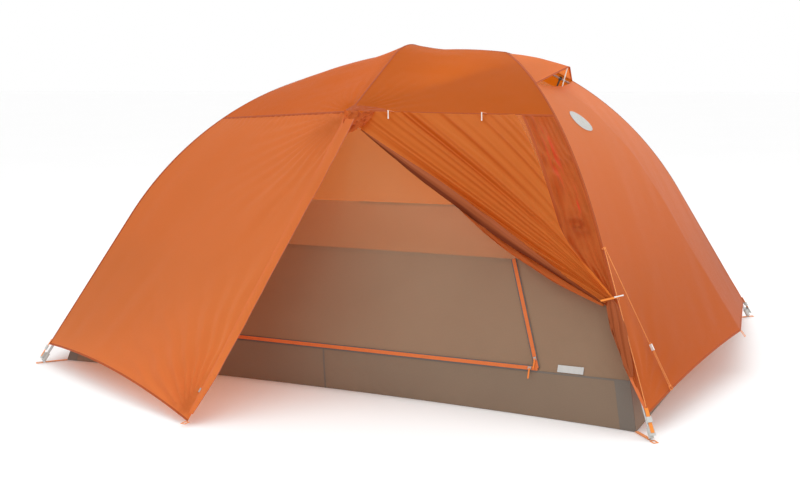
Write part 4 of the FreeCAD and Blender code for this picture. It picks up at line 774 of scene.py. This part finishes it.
orange_tape = tape_material("orange_tape", linear(238, 118, 45))
grey_tape = tape_material("grey_tape", linear(112, 104, 98))
wall_out = np.array([0, -math.cos(WALL_LEAN), math.sin(WALL_LEAN)])
wall_up = np.array([0, math.sin(WALL_LEAN), math.cos(WALL_LEAN)])
coil_grids, tape_grids = [], []
for side in (-1, 1):
    turn = np.array([1.0, -side, 1.0])
    low_x = np.linspace(HINGE_X, zip_at(TUB_TOP + 0.005) - 0.003, 160)
    low = wall_point(low_x, TUB_TOP + 0.005) + wall_out * 0.0035
    rise = np.linspace(TUB_TOP + 0.006, WALL_TOP - 0.001, 60)
    tall = wall_point(np.array([zip_at(z) for z in rise]) - 0.005, rise) + wall_out * 0.0035
    slant = np.array([math.cos(ZIP_SLANT), 0, 0]) + wall_up * math.sin(ZIP_SLANT)
    for line, across in ((low, wall_up), (tall, slant)):
        sides = np.tile(across, (len(line), 1))
        coil_grids.append(ribbon(line + wall_out * 0.001, sides, 0.0125) * turn)
        tape_grids.append(ribbon(line - wall_out * 0.0005, sides, 0.020) * turn)
on_tent(joined("door_zip_coils", coil_grids, orange_tape), "zip", "door_zips")
on_tent(joined("door_zip_tapes", tape_grids, grey_tape), "zip")
slider_metal = metal_material("slider_metal", (0.42, 0.40, 0.38, 1.0), 0.35)
pull_cloth = plastic_material("pull_orange", linear(240, 128, 40), 0.6)
for place in ("front_low", "front_side", "rear_low", "rear_side"):
    dress("door_slider_" + place, slider_metal)
    dress("door_pull_" + place, pull_cloth)
dress("size_label", tape_material("size_label_tape", linear(202, 200, 196), 0.0008))


# --------------------------------------------------------------------------------------------------
# The fly. Coated orange nylon in panels joined along the legs, the ridge and the brow pole, drawn tight to
# the corners. Felled seams, a hem all round, and a vent hood at the head end that a flat prop holds open.

FLY = 0.0150
HEM, VENT = 0.965, 0.24
STRIP_TOP = 0.84
BROW_END = brow_at(-BROW_HALF, FLY)
APEX = np.array([-0.210, -1.365, 0.013])
fly_cloth = cloth_material(
    "fly_cloth", (0.85, 0.240, 0.064, 1), (0.80, 0.218, 0.052, 1), (0.88, 0.26, 0.04, 1),
    glow=0.46, rough=0.46,
)
# Painted shade: the roof panels take darker, deeper copies of the fly cloth, darkest on the head-end panels,
# for how light falls on them.
roof_shaded_copy = cloth_material(
    "roof_shaded_copy", (0.61, 0.130, 0.003, 1), (0.56, 0.115, 0.002, 1), (0.66, 0.15, 0.004, 1),
    glow=0.40, rough=0.5,
)
slope_shaded_copy = cloth_material(
    "slope_shaded_copy", (0.72, 0.150, 0.007, 1), (0.66, 0.134, 0.005, 1), (0.73, 0.17, 0.006, 1),
    glow=0.42, rough=0.48,
)
seam_cloth = cloth_material(
    "seam_cloth", linear(186, 88, 40), linear(174, 80, 34), linear(186, 84, 28), glow=0.15, rough=0.5
)
seam_grids = []


def fly_ridge(x):
    """The fly over the ridge, lifted where the brow pole crosses it."""
    lift = (brow_at(0.0, FLY) - ridge_at(0.0, FLY))[2]
    made = ridge_at(x, FLY)
    made[..., 2] += lift * np.clip(1 - np.abs(x) / 0.15, 0, 1) ** 1.5
    return made


def rays(grid, corner, count, height, reach, seed, inner=0.02):
    """Tension folds that fan out from a corner where the cloth is pulled."""
    across, down = grid_lengths(grid)
    row, column = corner
    dx = np.abs(across - across[row, column])
    dy = np.abs(down - down[row, column])
    far = np.hypot(dx, dy)
    turn = np.arctan2(dy, dx) / (math.pi / 2)
    wobble = 0.35 * noise(turn * 5, far / 0.15, seed)
    fold = np.sin(2 * math.pi * (count * turn + wobble))
    fold = np.sign(fold) * np.abs(fold) ** 1.4
    share = np.clip(far / inner, 0, 1) * np.exp(-((far / reach) ** 1.5))
    border = np.minimum.reduce(edge_distance(grid))
    return height * fold * share * (1 - np.exp(-border / 0.015))


def seam_at(share):
    """The porch's top seam, from the brow pole's end to the head leg."""
    head = leg_at("head", SEAM["head"], FLY)
    return BROW_END + (head - BROW_END) * np.asarray(share, float)[..., None]


def sewn(grid, sides, width=0.0045):
    """Adds the seam's half on this panel along each of its sewn borders."""
    for side in sides:
        seam_grids.append(border_strip(grid, side, width, 0.0009))
    return grid


def worked(grid, lie):
    """A grid moved outward by its lie."""
    return grid + grid_normals(grid) * lie[..., None]


def oval_on(grid, centre, long, short, lift, turn=2 * math.pi):
    """An oval patch that lies on a grid. centre and the two half axes are in rows and columns."""
    angle, far = np.linspace(0, turn, 49)[None, :], np.linspace(0, 1, 9)[:, None]
    row, column = (
        np.clip(
            centre[k] + far * (long[k] * np.cos(angle) + short[k] * np.sin(angle)), 0, grid.shape[k] - 1.001
        )
        for k in (0, 1)
    )
    i, j = row.astype(int), column.astype(int)
    fi, fj = (row - i)[..., None], (column - j)[..., None]
    raised = worked(grid, np.full(grid.shape[:2], lift))
    near = raised[i, j] * (1 - fj) + raised[i, j + 1] * fj
    return near * (1 - fi) + (raised[i + 1, j] * (1 - fj) + raised[i + 1, j + 1] * fj) * fi


roof_sides = []
for end in ("foot", "head"):
    down = 90
    ridge = fly_ridge(np.linspace(0, HUBS[end], 120))
    brow = brow_at(-BROW_HALF * np.linspace(0, 1, down), FLY)
    outer = leg_at(end, SEAM[end] * np.linspace(0, 1, down), FLY)
    bottom = straight_line(brow[-1], outer[-1], 120)
    grid = coons(ridge, bottom, brow, outer)
    lie = slack(grid, 0.003, 0.10, 0.22, 41) + puckers(grid, ("bottom", "left"), 0.0008, 0.03, 0.03, 42)
    grid = worked(grid, lie + rays(grid, (-1, 0), 9, 0.0035, 0.16, 43))
    roof_sides.append((end, grid))
for word, turn in (("front", lambda g: g), ("rear", flipped)):
    for end, grid in roof_sides:
        panel = sewn(turn(grid), ("top", "bottom", "left", "right"))
        material = roof_shaded_copy if end == "head" else slope_shaded_copy
        nodes = ("fly_roof_" + word,) if end == "foot" else ()
        made = on_tent(grid_object("fly_roof_%s_%s" % (word, end), panel, material), "fly_orange", *nodes)
        columns = 22 if end == "head" else 5
        patch = oval_on(panel, (89, 0), (0, columns), (-6, 0), 0.0015, math.pi / 2)
        patch_part = on_tent(joined("brow_patch_%s_%s" % (word, end), [patch], seam_cloth), "fly_orange")
        held_sheet([panel])


def end_hem(end, count):
    """The hem of an end panel, which rises from both corners to the tab in its middle."""
    corner = leg_at(end, HEM, FLY)
    tab = np.array([(1 if end == "head" else -1) * (FLOOR_LENGTH / 2 + 0.177), 0.0, 0.150])
    half = straight_line(corner, tab, count // 2 + 1, arch=0.018)
    return np.concatenate([half, half[-2::-1] * [1, -1, 1]])


def vent_lip(count):
    """The edge of the head end panel under the hood."""
    low = leg_at("head", VENT, FLY)
    share = np.linspace(0, 1, count)[:, None]
    return low + (low * [1, -1, 1] - low) * share + np.array([0.022, 0, -0.014]) * 4 * share * (1 - share)


def hood_mouth(count):
    """The hood's free edge, which the prop lifts in its middle."""
    corner = leg_at("head", VENT, FLY)
    peak = vent_lip(3)[1] + np.array([0.038, 0, 0.072])
    half = straight_line(corner, peak, count // 2 + 1)
    return np.concatenate([half, half[-2::-1] * [1, -1, 1]])


end_cloth_mix = cloth_material(
    "end_cloth", (0.84, 0.255, 0.085, 1), (0.80, 0.235, 0.072, 1), (0.86, 0.25, 0.06, 1),
    glow=0.42, rough=0.46, low_shade=(0.60, 0.120, 0.016, 1),
)
label_cloth = tape_material("label_tape", linear(206, 204, 198), 0.0008)
for end, start in (("foot", TOP), ("head", VENT)):
    front = leg_at(end, np.linspace(start, HEM, 150), FLY)
    if end == "foot":
        top = straight_line(front[0], front[0] * [1, -1, 1], 141)
    else:
        top = vent_lip(141)
    grid = coons(top, end_hem(end, 141), front, flipped(front))
    lie = sag(grid, 0.012) + slack(grid, 0.004, 0.5, 0.16, 45)
    lie += puckers(grid, ("left", "right"), 0.0006, 0.03, 0.03, 46)
    lie += rays(grid, (-1, 0), 7, 0.004, 0.30, 47) + rays(grid, (-1, -1), 7, 0.004, 0.30, 48)
    grid = sewn(worked(grid, lie), ("left", "right", "bottom"), 0.007)
    made = on_tent(grid_object("fly_end_cloth_" + end, grid, end_cloth_mix), "fly_orange", "fly_end_" + end)
    held_sheet([grid])
    if end == "head":
        plain_patch = oval_on(grid, (35, 33), (8.2, 5.7), (-1.8, 7.4), 0.0014)
        on_tent(joined("plain_patch", [plain_patch], label_cloth), "label")

hood_side = leg_at("head", np.linspace(TOP, VENT, 50), FLY)
hood_back = straight_line(hood_side[0], hood_side[0] * [1, -1, 1], 81)
hood_grid = coons(hood_back, hood_mouth(81), hood_side, flipped(hood_side))
lie = slack(hood_grid, 0.002, 0.2, 0.1, 50) + puckers(hood_grid, ("bottom",), 0.0005, 0.02, 0.02, 51)
hood_grid = worked(hood_grid, lie)
hood_trim = [border_strip(hood_grid, side, 0.008, 0.0009) for side in ("left", "right", "bottom")]
hood = grid_object("vent_hood_cloth", hood_grid, fly_cloth)
hood_seams = joined("vent_hood_seams", hood_trim, seam_cloth)
hood_top, hood_low = hood_side[0] * [1, 0, 1], hood_side[-1] * [1, 0, 1]
rise = (hood_top[2] - hood_low[2], 0.0, hood_low[0] - hood_top[0])
for made, nodes in ((hood, ("vent_hood",)), (hood_seams, ())):
    on_tent(made, "fly_orange", *nodes)
    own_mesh(made)
held_sheet([hood_grid])
dress("vent_strut", plastic_material("strut_plastic", linear(228, 224, 214), 0.5))


def vestibule_left(down=150, across=130):
    """The porch panel on the foot side, from its leg to the line of the zip."""
    foot_seam = leg_at("foot", SEAM["foot"], FLY)
    front = leg_at("foot", np.linspace(SEAM["foot"], HEM, down), FLY)
    top = straight_line(foot_seam, BROW_END, across)
    hem = straight_line(front[-1], APEX, across, arch=0.036)
    return coons(top, hem, front, straight_line(BROW_END, APEX, down))


def vestibule_folds(grid, seed, apex_column):
    """The lie of a porch panel, with folds from the stake and from the brow pole's end."""
    lie = sag(grid, 0.030) + slack(grid, 0.005, 0.35, 0.14, seed)
    lie += puckers(grid, ("top",), 0.0022, 0.028, 0.07, seed + 1)
    lie += puckers(grid, ("left", "right"), 0.0006, 0.03, 0.02, seed)
    lie += rays(grid, (-1, apex_column), 11, 0.009, 0.42, seed + 2)
    lie += rays(grid, (0, apex_column), 9, 0.006, 0.28, seed + 3)
    return lie


left_grid = vestibule_left()
left_grid = worked(left_grid, vestibule_folds(left_grid, 60, -1))
front_panel = sewn(left_grid, ("top", "left", "bottom"), 0.007)
made = on_tent(grid_object("vestibule_front_cloth", front_panel, fly_cloth), "fly_orange", "vestibule_front")
held_sheet([front_panel])

rear_left = flipped(left_grid)
head_leg = leg_at("head", np.linspace(SEAM["head"], HEM, 150), FLY)
rear_right = coons(
    seam_at(np.linspace(0, 1, 130)), straight_line(APEX, head_leg[-1], 130, arch=0.036),
    straight_line(BROW_END, APEX, 150), head_leg,
)
rear_right = flipped(worked(rear_right, vestibule_folds(rear_right, 65, 0)))
for grid, sides in ((rear_left, ("top", "left", "bottom")), (rear_right, ("top", "right", "bottom"))):
    sewn(grid, sides, 0.007)
rear_grids = [rear_left, rear_right]
made = on_tent(joined("vestibule_rear_cloth", rear_grids, fly_cloth), "fly_orange", "vestibule_rear")
held_sheet(rear_grids)


# --------------------------------------------------------------------------------------------------
# The strip of fly between the porch's second zip and the head leg stays up when the door is open. It is
# slack, so it hangs in small crumpled folds that run down toward the tie-back.


def mark(made, layer, values):
    """Stores a share from 0 to 1 at each point of a sheet, for its material."""
    stored = made.data.attributes.new(layer, "FLOAT", "POINT")
    stored.data.foreach_set("value", values.astype(np.float32).ravel())


def strip_edge(share):
    """The strip's free edge, drawn in toward the leg at the tie-back and tapered at the corner."""
    start = seam_at(STRIP_TOP)
    share = np.asarray(share, float)
    offset = start - leg_at("head", SEAM["head"], FLY)
    made = leg_at("head", SEAM["head"] + (HEM - SEAM["head"]) * share, FLY)
    drawn = np.clip((share - 0.47) / 0.29, 0, 1)
    width = 1.0 - 0.86 * drawn * drawn * (3 - 2 * drawn)
    taper = 1 - 0.92 * np.clip((share - 0.87) / 0.13, 0, 1)[..., None]
    return made + (offset * width[..., None] + np.array([-0.020, -0.004, 0]) * share[..., None]) * taper


def strip_grid(across=46, down=180):
    share = np.linspace(0, 1, down)
    leg = leg_at("head", SEAM["head"] + (HEM - SEAM["head"]) * share, FLY)
    top = straight_line(seam_at(STRIP_TOP), leg[0], across)
    edge = strip_edge(share)
    return coons(top, straight_line(edge[-1], leg[-1], across), edge, leg)


strip = strip_grid()
across, down = grid_lengths(strip)
wide = across / np.maximum(across[:, -1:], 0.02)
drift = noise(wide * 2.2, down / 0.16, 71)
crumple = np.sin(2 * math.pi * (2.1 * wide + 0.75 * drift + down / 0.40))
crumple += 0.55 * np.sin(2 * math.pi * (4.3 * wide - 0.9 * drift - down / 0.22))
crumple += 0.7 * noise(wide * 5, down / 0.045, 73)
calm = 1 - np.exp(-((np.minimum.reduce(edge_distance(strip)) / 0.014) ** 2))
knot = np.hypot((wide - 0.52) / 0.42, (down - 0.50) / 0.055)
swirl = np.sin(9 * knot + 2 * np.arctan2(down - 0.50, (wide - 0.52) * 0.06)) * np.exp(-(knot ** 2))
strip_panel = worked(strip, 0.0046 * crumple * calm - 0.004 * calm + 0.0045 * swirl * calm)
streak_line = 0.34 + 0.34 * down / 0.5 + 0.10 * noise(down / 0.07, 0 * down, 75)
streak = np.exp(-(((wide - streak_line) / 0.13) ** 2))
streak *= np.clip(noise(wide * 16, down / 0.07, 76) * 1.6 + 0.1, 0, 1)
streak *= np.clip(down / 0.03, 0, 1) * np.clip((0.47 - down) / 0.05, 0, 1)
# Painted shade: the crease layer darkens the strip along its crumpled folds and round the knot.
knot_shade = 0.9 * np.exp(-((knot / 0.8) ** 2)) * (0.55 + 0.45 * swirl)
crease_shade = np.clip(0.45 * np.clip(crumple - 0.7, 0, 1) + knot_shade, 0, 1)
sewn(strip_panel, ("top", "right", "bottom"), 0.007)
# The strip's crease colour is a painted shade; its streak colour is a saturated red tint.
strip_cloth = cloth_material(
    "strip_cloth", (0.70, 0.185, 0.042, 1), (0.62, 0.152, 0.030, 1), (0.84, 0.19, 0.03, 1),
    glow=0.50, rough=0.42,
    folded={"crease": (0.36, 0.055, 0.008, 1), "streak": (0.92, 0.085, 0.035, 1)},
)
made = on_tent(grid_object("vestibule_side_cloth", strip_panel, strip_cloth), "fly_orange", "vestibule_side")
mark(made, "crease", crease_shade)
mark(made, "streak", streak)
second_zip = border_strip(strip_panel, "left", 0.010, 0.0012)
zip_band = on_tent(joined("second_zip_band", [second_zip], seam_cloth), "fly_orange")
corner_edge = border_strip(strip_panel[-34:], "left", 0.012, 0.0024)
corner_band = on_tent(joined("strip_corner_band", [corner_edge], orange_tape), "webbing")
held_sheet([strip_panel])


# --------------------------------------------------------------------------------------------------
# The porch door, unzipped and drawn aside. Its top stays sewn to the roof seam; long tight folds run from
# there to the tie-back on the head leg, its free edge is rolled in on itself, and its tail hangs down the
# leg to the corner.


def strip_normal():
    """The way the strip beside the leg faces."""
    side = seam_at(1.0) - seam_at(STRIP_TOP)
    low = leg_at("head", HEM, FLY) - leg_at("head", SEAM["head"], FLY)
    normal = np.cross(side, low)
    normal /= np.linalg.norm(normal)
    return normal if normal[1] < 0 else -normal


TIE_SHARE = 0.79
OUT = strip_normal()
TIE = leg_at("head", TIE_SHARE, FLY) + np.array([-0.022, 0, 0]) + OUT * 0.012
barrier = strip_grid(24, 90)
barrier_normals = grid_normals(barrier).reshape(-1, 3)
barrier = barrier.reshape(-1, 3)


def spread(values, reach):
    """The largest value within reach along each way of a grid, evened out."""
    made = values
    for axis in (0, 1):
        rolled = [np.roll(made, step, axis) for step in range(-reach, reach + 1)]
        made = np.maximum.reduce(rolled)
    for axis in (0, 1):
        made = np.mean([np.roll(made, step, axis) for step in range(-reach, reach + 1)], axis=0)
    return made


def clear_of_strip(grid, gap, reach=8):
    """Moves points out until they stand clear of the strip beside the leg, and their neighbours with them."""
    flat = grid.reshape(-1, 3)
    need = np.zeros(len(flat))
    for start in range(0, len(flat), 2000):
        part = flat[start:start + 2000]
        step = part[:, None] - barrier[None]
        near = (step ** 2).sum(2).argmin(1)
        step = part - barrier[near]
        normal = barrier_normals[near]
        height = (step * normal).sum(1)
        aside = np.linalg.norm(step - normal * height[:, None], axis=1)
        wanted = gap * np.clip(1 - aside / 0.05, 0, 1)
        need[start:start + 2000] = np.where(aside < 0.05, np.maximum(wanted - height, 0), 0)
    return grid + OUT * spread(need.reshape(grid.shape[:2]), reach)[..., None]


FAN_ACROSS, FAN_DOWN = 300, 170


def zip_at_share(share):
    """The porch zip's line, from the brow pole's end to the stake."""
    return BROW_END + (APEX - BROW_END) * share


GATHER = seam_at(0.055) + np.array([0.017, -0.038, -0.064])
fan_top = seam_at(0.040 + (STRIP_TOP - 0.07) * np.linspace(0, 1, FAN_ACROSS)) + np.array([0, -0.001, -0.001])
free_edge = straight_line(GATHER, TIE + np.array([-0.020, -0.004, -0.010]), 150, arch=-0.010)
fan_left = np.concatenate([straight_line(fan_top[0], GATHER, 21), free_edge[1:]])
share = np.linspace(0, 1, FAN_DOWN)
along = (TIE_SHARE - SEAM["head"]) / (HEM - SEAM["head"]) * share
edge = strip_edge(along) + OUT * 0.005 * np.minimum(1, share * 3)[:, None]
end_shift = TIE + np.array([0.008, -0.002, 0.010]) - edge[-1]
fan_right = edge + (fan_top[-1] - edge[0]) * ((1 - share) ** 3)[:, None] + end_shift * (share ** 5)[:, None]
fan = coons(fan_top, straight_line(fan_left[-1], fan_right[-1], FAN_ACROSS), fan_left, fan_right)
fan = clear_of_strip(fan, 0.006)
u, v = np.linspace(0, 1, FAN_ACROSS)[None, :], np.linspace(0, 1, FAN_DOWN)[:, None]
fold_way = TIE - GATHER
down_way = np.cross(OUT, fold_way) / np.linalg.norm(fold_way)
along = ((fan - GATHER) @ fold_way) / (fold_way @ fold_way)
aside = np.abs((fan - GATHER) @ down_way)
lines = aside / (1.45 - 0.9 * along - 0.43 * np.clip(along, 0, 1) ** 3)
lines /= lines[0].max()
wander = noise(lines * 7, v * 2.5, 81)
pleats = np.sin(2 * math.pi * (17 * lines + 0.30 * wander))
strength = np.clip(0.40 + 0.75 * noise(lines * 5.5, 0.7 * v, 83), 0.08, 1.2)
depth = 0.0006 + 0.0022 * np.sin(math.pi * v ** 0.7) + 0.0020 * v
folds = np.random.default_rng(12)
fan_fold, place = np.zeros((FAN_DOWN, FAN_ACROSS)), 0.0
while place < 0.95:
    place += folds.uniform(0.018, 0.055) if place < 0.34 else folds.uniform(0.05, 0.14)
    middle, reach = folds.uniform(0.0, 0.9), folds.uniform(0.35, 0.8)
    width = folds.uniform(0.007, 0.019)
    shape = np.exp(-(((lines - place - 0.006 * wander) / width) ** 2))
    shape = shape * np.exp(-(((v - middle) / reach) ** 2))
    fan_fold = np.maximum(fan_fold, shape * folds.uniform(0.5, 1.1) * (1.3 if place < 0.36 else 0.8))
fade = np.clip(np.minimum(u, 1 - u) / 0.02, 0, 1)
fan = worked(fan, fade * (depth * strength * (0.55 * pleats + 0.45) + 0.0035 * fan_fold))
# Painted shade: the fold layer darkens and deepens the orange along the fan's folds.
door_cloth = cloth_material(
    "door_fold_cloth", (0.80, 0.235, 0.045, 1), (0.74, 0.205, 0.032, 1), (0.90, 0.26, 0.03, 1),
    glow=0.50, rough=0.44,
    folded={"fold": (0.54, 0.090, 0.0006, 1)},
)
# The rolled door and its tail take a darker red-brown cloth; its crease layer is a painted shade.
roll_and_tail_cloth = cloth_material(
    "door_roll_cloth", (0.42, 0.100, 0.030, 1), (0.34, 0.078, 0.020, 1), (0.42, 0.08, 0.015, 1),
    glow=0.15, rough=0.42,
    folded={"crease": (0.17, 0.026, 0.004, 1)},
)


def bundle(path, radii, folds, depth, turns, seed, around=72, squeeze=1.0, tilt=None):
    """Cloth gathered round a line: a tube whose wall is folded lengthwise and twists as it goes."""
    path = np.asarray(path, float)
    way = np.gradient(path, axis=0)
    way /= np.linalg.norm(way, axis=1, keepdims=True)
    side = np.cross(way, np.tile(OUT if tilt is None else tilt, (len(path), 1)))
    side /= np.linalg.norm(side, axis=1, keepdims=True)
    front = np.cross(side, way)
    angle = np.linspace(0, 2 * math.pi, around + 1)[None, :]
    along = np.linspace(0, 1, len(path))[:, None]
    twist = angle + turns * 2 * math.pi * along
    wave = np.sin(folds * twist + 1.5 * noise(3 * along + 0 * angle, twist * 0.7, seed))
    wave += 0.5 * np.sin((2 * folds + 1) * twist + 2.0 * noise(5 * along + 0 * angle, twist, seed + 2))
    radius = np.asarray(radii)[:, None] * (1 + depth * wave)
    return (
        path[:, None]
        + side[:, None] * (np.cos(angle) * radius)[..., None]
        + front[:, None] * (np.sin(angle) * radius * squeeze)[..., None]
    )


roll_share = np.linspace(0, 1, 150)
roll_radius = np.interp(roll_share, (0, 0.06, 0.3, 0.55, 0.8, 1), (0.0015, 0.005, 0.017, 0.024, 0.011, 0.004))
roll = bundle(free_edge + OUT * 0.004, roll_radius, 2, 0.16, 0.7, 85, squeeze=0.60)
hang = np.sin(math.pi * np.linspace(0.12, 1, 90))[:, None]
under_path = free_edge[60:] + np.array([-0.007, 0.0, -0.024]) * hang
under_radius = np.interp(np.linspace(0, 1, 90), (0, 0.3, 0.7, 1), (0.003, 0.013, 0.017, 0.008))
under = bundle(under_path, under_radius, 3, 0.16, 0.5, 87, squeeze=0.60)
tail_end = leg_at("head", HEM - 0.055, FLY) + np.array([-0.020, 0, 0]) + OUT * 0.010
tail_path = straight_line(TIE + OUT * 0.006, tail_end, 90, arch=-0.010)
tail_path += OUT * (0.010 * np.sin(math.pi * np.linspace(0, 1, 90)))[:, None]
tail_radius = np.interp(np.linspace(0, 1, 90), (0, 0.06, 0.35, 0.8, 1), (0.008, 0.014, 0.019, 0.015, 0.004))
tail = clear_of_strip(bundle(tail_path, tail_radius, 4, 0.24, 0.25, 88, squeeze=0.62), 0.004)
fan_part = on_tent(grid_object("door_fan", fan, door_cloth), "fly_dark", "fly_door_rolled")
# The fold layer is a painted shade along the fan's folds.
mark(fan_part, "fold", np.clip(fan_fold, 0, 1))
roll_part = on_tent(joined("door_roll", [roll], roll_and_tail_cloth), "fly_dark")
# Painted shade: the crease layer darkens the roll's lower side, broken by uneven furrows.
low_side = ((roll - free_edge[:, None]) @ down_way) / roll_radius[:, None]
low_side *= -np.sign(down_way[2])
furrow = noise(np.linspace(0, 3, 150)[:, None] + 0 * low_side, low_side * 3.5, 93)
mark(roll_part, "crease", np.clip(0.35 + 0.9 * low_side + 0.5 * furrow, 0, 1))
under_part = on_tent(joined("door_edge_roll", [under], strip_cloth), "fly_dark")
gather_brow, gather_seam = BROW_END + np.array([-0.020, -0.004, 0.0]), seam_at(0.13)
gather_zip = zip_at_share(0.085) + np.array([0.022, -0.004, 0.0])
gather_low = GATHER + np.array([0.018, -0.004, 0.012])
brow_gather = coons(
    straight_line(gather_brow, gather_seam, 60), straight_line(gather_zip, gather_low, 60),
    straight_line(gather_brow, gather_zip, 50), straight_line(gather_seam, gather_low, 50),
)
gu, gv = np.linspace(0, 1, 60)[None, :], np.linspace(0, 1, 50)[:, None]
rumple = noise(gu * 7 + 2 * gv, gv * 5, 91) + 0.6 * noise(gu * 13 - 3 * gv, gv * 9, 92)
brow_gather = worked(brow_gather, 0.006 + 0.0045 * rumple)
gather_part = on_tent(grid_object("door_gather", brow_gather, strip_cloth), "fly_dark")
# Painted shade: the crease layer darkens the gathered cloth in its rumples.
mark(gather_part, "crease", np.clip(0.15 + 0.9 * rumple, 0, 1) * 0.7)
tail_part = on_tent(joined("door_tail", [tail], roll_and_tail_cloth), "fly_dark")


# --------------------------------------------------------------------------------------------------
# Fly zips. Each porch closes with one coil zip from the brow pole's end to the stake, under a storm flap
# that is sewn beside it and bound in bright orange.

zip_line = zip_at_share(np.linspace(0, 1, 150)[:, None])
zip_normal = grid_normals(left_grid[:, ::-1].transpose(1, 0, 2))[8:20, 30:120].mean(axis=(0, 1))
zip_normal /= np.linalg.norm(zip_normal)
zip_way = (APEX - BROW_END) / np.linalg.norm(APEX - BROW_END)
INWARD = np.cross(zip_way, zip_normal)
INWARD *= -np.sign(INWARD[0])
zip_share = np.linspace(0, 1, 150)
flap_wide = np.interp(zip_share, (0, 0.08, 0.3, 0.85, 1), (0.050, 0.056, 0.046, 0.036, 0.012))[:, None]
ZIP_FIRST, ZIP_LAST = 5, 147
covered = slice(ZIP_FIRST, ZIP_LAST)
flap_grids, coil_grids, binding_grids = [], [], []
for turn in (np.array([1.0, 1.0, 1.0]), np.array([1.0, -1.0, 1.0])):
    wave = 0.0022 * noise(zip_share * 11, zip_share * 0, 97)
    wave = (wave + 0.0010 * noise(zip_share * 31, zip_share * 0, 98))[:, None]
    flap = np.array([
        zip_line + INWARD * 0.012 + zip_normal * 0.0030,
        zip_line + INWARD * 0.004 + zip_normal * (0.0085 + wave),
        zip_line - INWARD * flap_wide * 0.35 + zip_normal * (0.0100 - wave),
        zip_line - INWARD * flap_wide * 0.70 + zip_normal * (0.0080 + wave),
        zip_line - INWARD * flap_wide + zip_normal * (0.0050 - wave),
    ])
    flap_grids.append(flap[:, covered] * turn)
    sides = np.tile(INWARD, (ZIP_LAST - ZIP_FIRST, 1))
    binding_grids.append(ribbon((flap[-1] + zip_normal * 0.0008)[covered], sides, 0.0035) * turn)
    coil_grids.append(ribbon((zip_line + zip_normal * 0.0015)[covered], sides, 0.0065) * turn)
flaps = on_tent(joined("storm_flap_cloth", flap_grids, fly_cloth), "fly_orange", "storm_flaps")
binding_tape = tape_material("binding_tape", linear(212, 92, 36))
bindings = on_tent(joined("flap_binding", binding_grids, binding_tape), "webbing")
on_tent(joined("fly_zip_coils", coil_grids, orange_tape), "zip", "fly_zips")
held_sheet(flap_grids)
for name in ("fly_slider_front", "fly_slider_rear"):
    dress(name, slider_metal)


# --------------------------------------------------------------------------------------------------
# Seams of the fly. Each is felled and stitched, so it stands a little proud of the panels it joins, and
# they are one set of narrow bands along the panels' borders.

on_tent(joined("fly_seams", seam_grids, seam_cloth), "fly_orange")


# --------------------------------------------------------------------------------------------------
# Webbing and toggles. Orange tape straps run from the fly and the floor to the corner buckles, with stake
# loops and the tie-back band; the toggles and the tensioner are white plastic.

bright_webbing = tape_material("bright_webbing", linear(246, 142, 38), 0.0022)
dress("corner_webbing", bright_webbing)
dress("webbing_loops", bright_webbing)
white_plastic = plastic_material("white_plastic", linear(238, 236, 230), 0.4, 0.94)
for name in ("rollup_toggle_inner", "rollup_toggle_outer", "tieback_toggle", "guy_tensioner"):
    dress(name, white_plastic)


# --------------------------------------------------------------------------------------------------
# Guy lines: orange braided cord, 2.2 mm, drawn tight. The long one runs from the loop on the head leg
# through the tensioner, round the ring at the hem and back; the short one runs down to the corner.

LONG_CORD, SHORT_CORD, CORD_THICK = 0.654, 0.548, 0.0022


def braid_material(name, colour):
    material, tree = new_material(name)
    place = node(tree, "ShaderNodeTexCoord").outputs["Object"]
    turned = node(tree, "ShaderNodeMapping", {"Vector": place, "Rotation": (0.6, 0.4, 0.8)}).outputs[0]
    braid = node(
        tree, "ShaderNodeTexWave", {"Vector": turned, "Scale": 220.0, "Distortion": 2.0}
    ).outputs["Fac"]
    cloud = node(tree, "ShaderNodeTexNoise", {"Vector": place, "Scale": 80.0}).outputs["Fac"]
    # Painted shade: the braid's tone darkens where its height is low, in the grooves between strands.
    tone = blended(tree, braid, tuple(c * 0.75 for c in colour[:3]) + (1.0,), colour)
    bump = node(tree, "ShaderNodeBump", {"Height": braid, "Strength": 0.6, "Distance": 0.0004}).outputs[0]
    shader = node(
        tree, "ShaderNodeBsdfPrincipled",
        {"Base Color": tone, "Roughness": scaled(tree, cloud, 0.55, 0.75), "Sheen Weight": 0.3,
         "Normal": bump},
    )
    node(tree, "ShaderNodeOutputMaterial", {"Surface": shader.outputs[0]})
    return material


guy_braid = braid_material("guy_braid", linear(255, 158, 72))


def cord(name, points):
    """A cord along a smooth curve through the air, as thick as the guy line."""
    curve = bpy.data.curves.new(name, "CURVE")
    curve.dimensions, curve.use_fill_caps = "3D", True
    curve.bevel_depth, curve.bevel_resolution = CORD_THICK / 2, 3
    spline = curve.splines.new("NURBS")
    spline.points.add(len(points) - 1)
    for point, place in zip(spline.points, points):
        point.co = (*place, 1.0)
    spline.order_u, spline.use_endpoint_u, spline.resolution_u = 3, True, 24
    curve.materials.append(guy_braid)
    made = bpy.data.objects.new(name, curve)
    bpy.context.scene.collection.objects.link(made)
    return made


long_points = [
    (0.98737, -0.69115, 0.55090), (1.21318, -0.73633, 0.12663), (1.21950, -0.73759, 0.11477),
    (1.22360, -0.73855, 0.11708), (1.21723, -0.73727, 0.12891), (1.15051, -0.72390, 0.25283),
]
short_points = [(0.98568, -0.69259, 0.55090), (1.08630, -0.80928, 0.32405), (1.18692, -0.92596, 0.09719)]
long_line = on_tent(cord("guy_cord_long", long_points), "guy", "guy_line_long")
short_line = on_tent(cord("guy_cord_short", short_points), "guy", "guy_line_short")
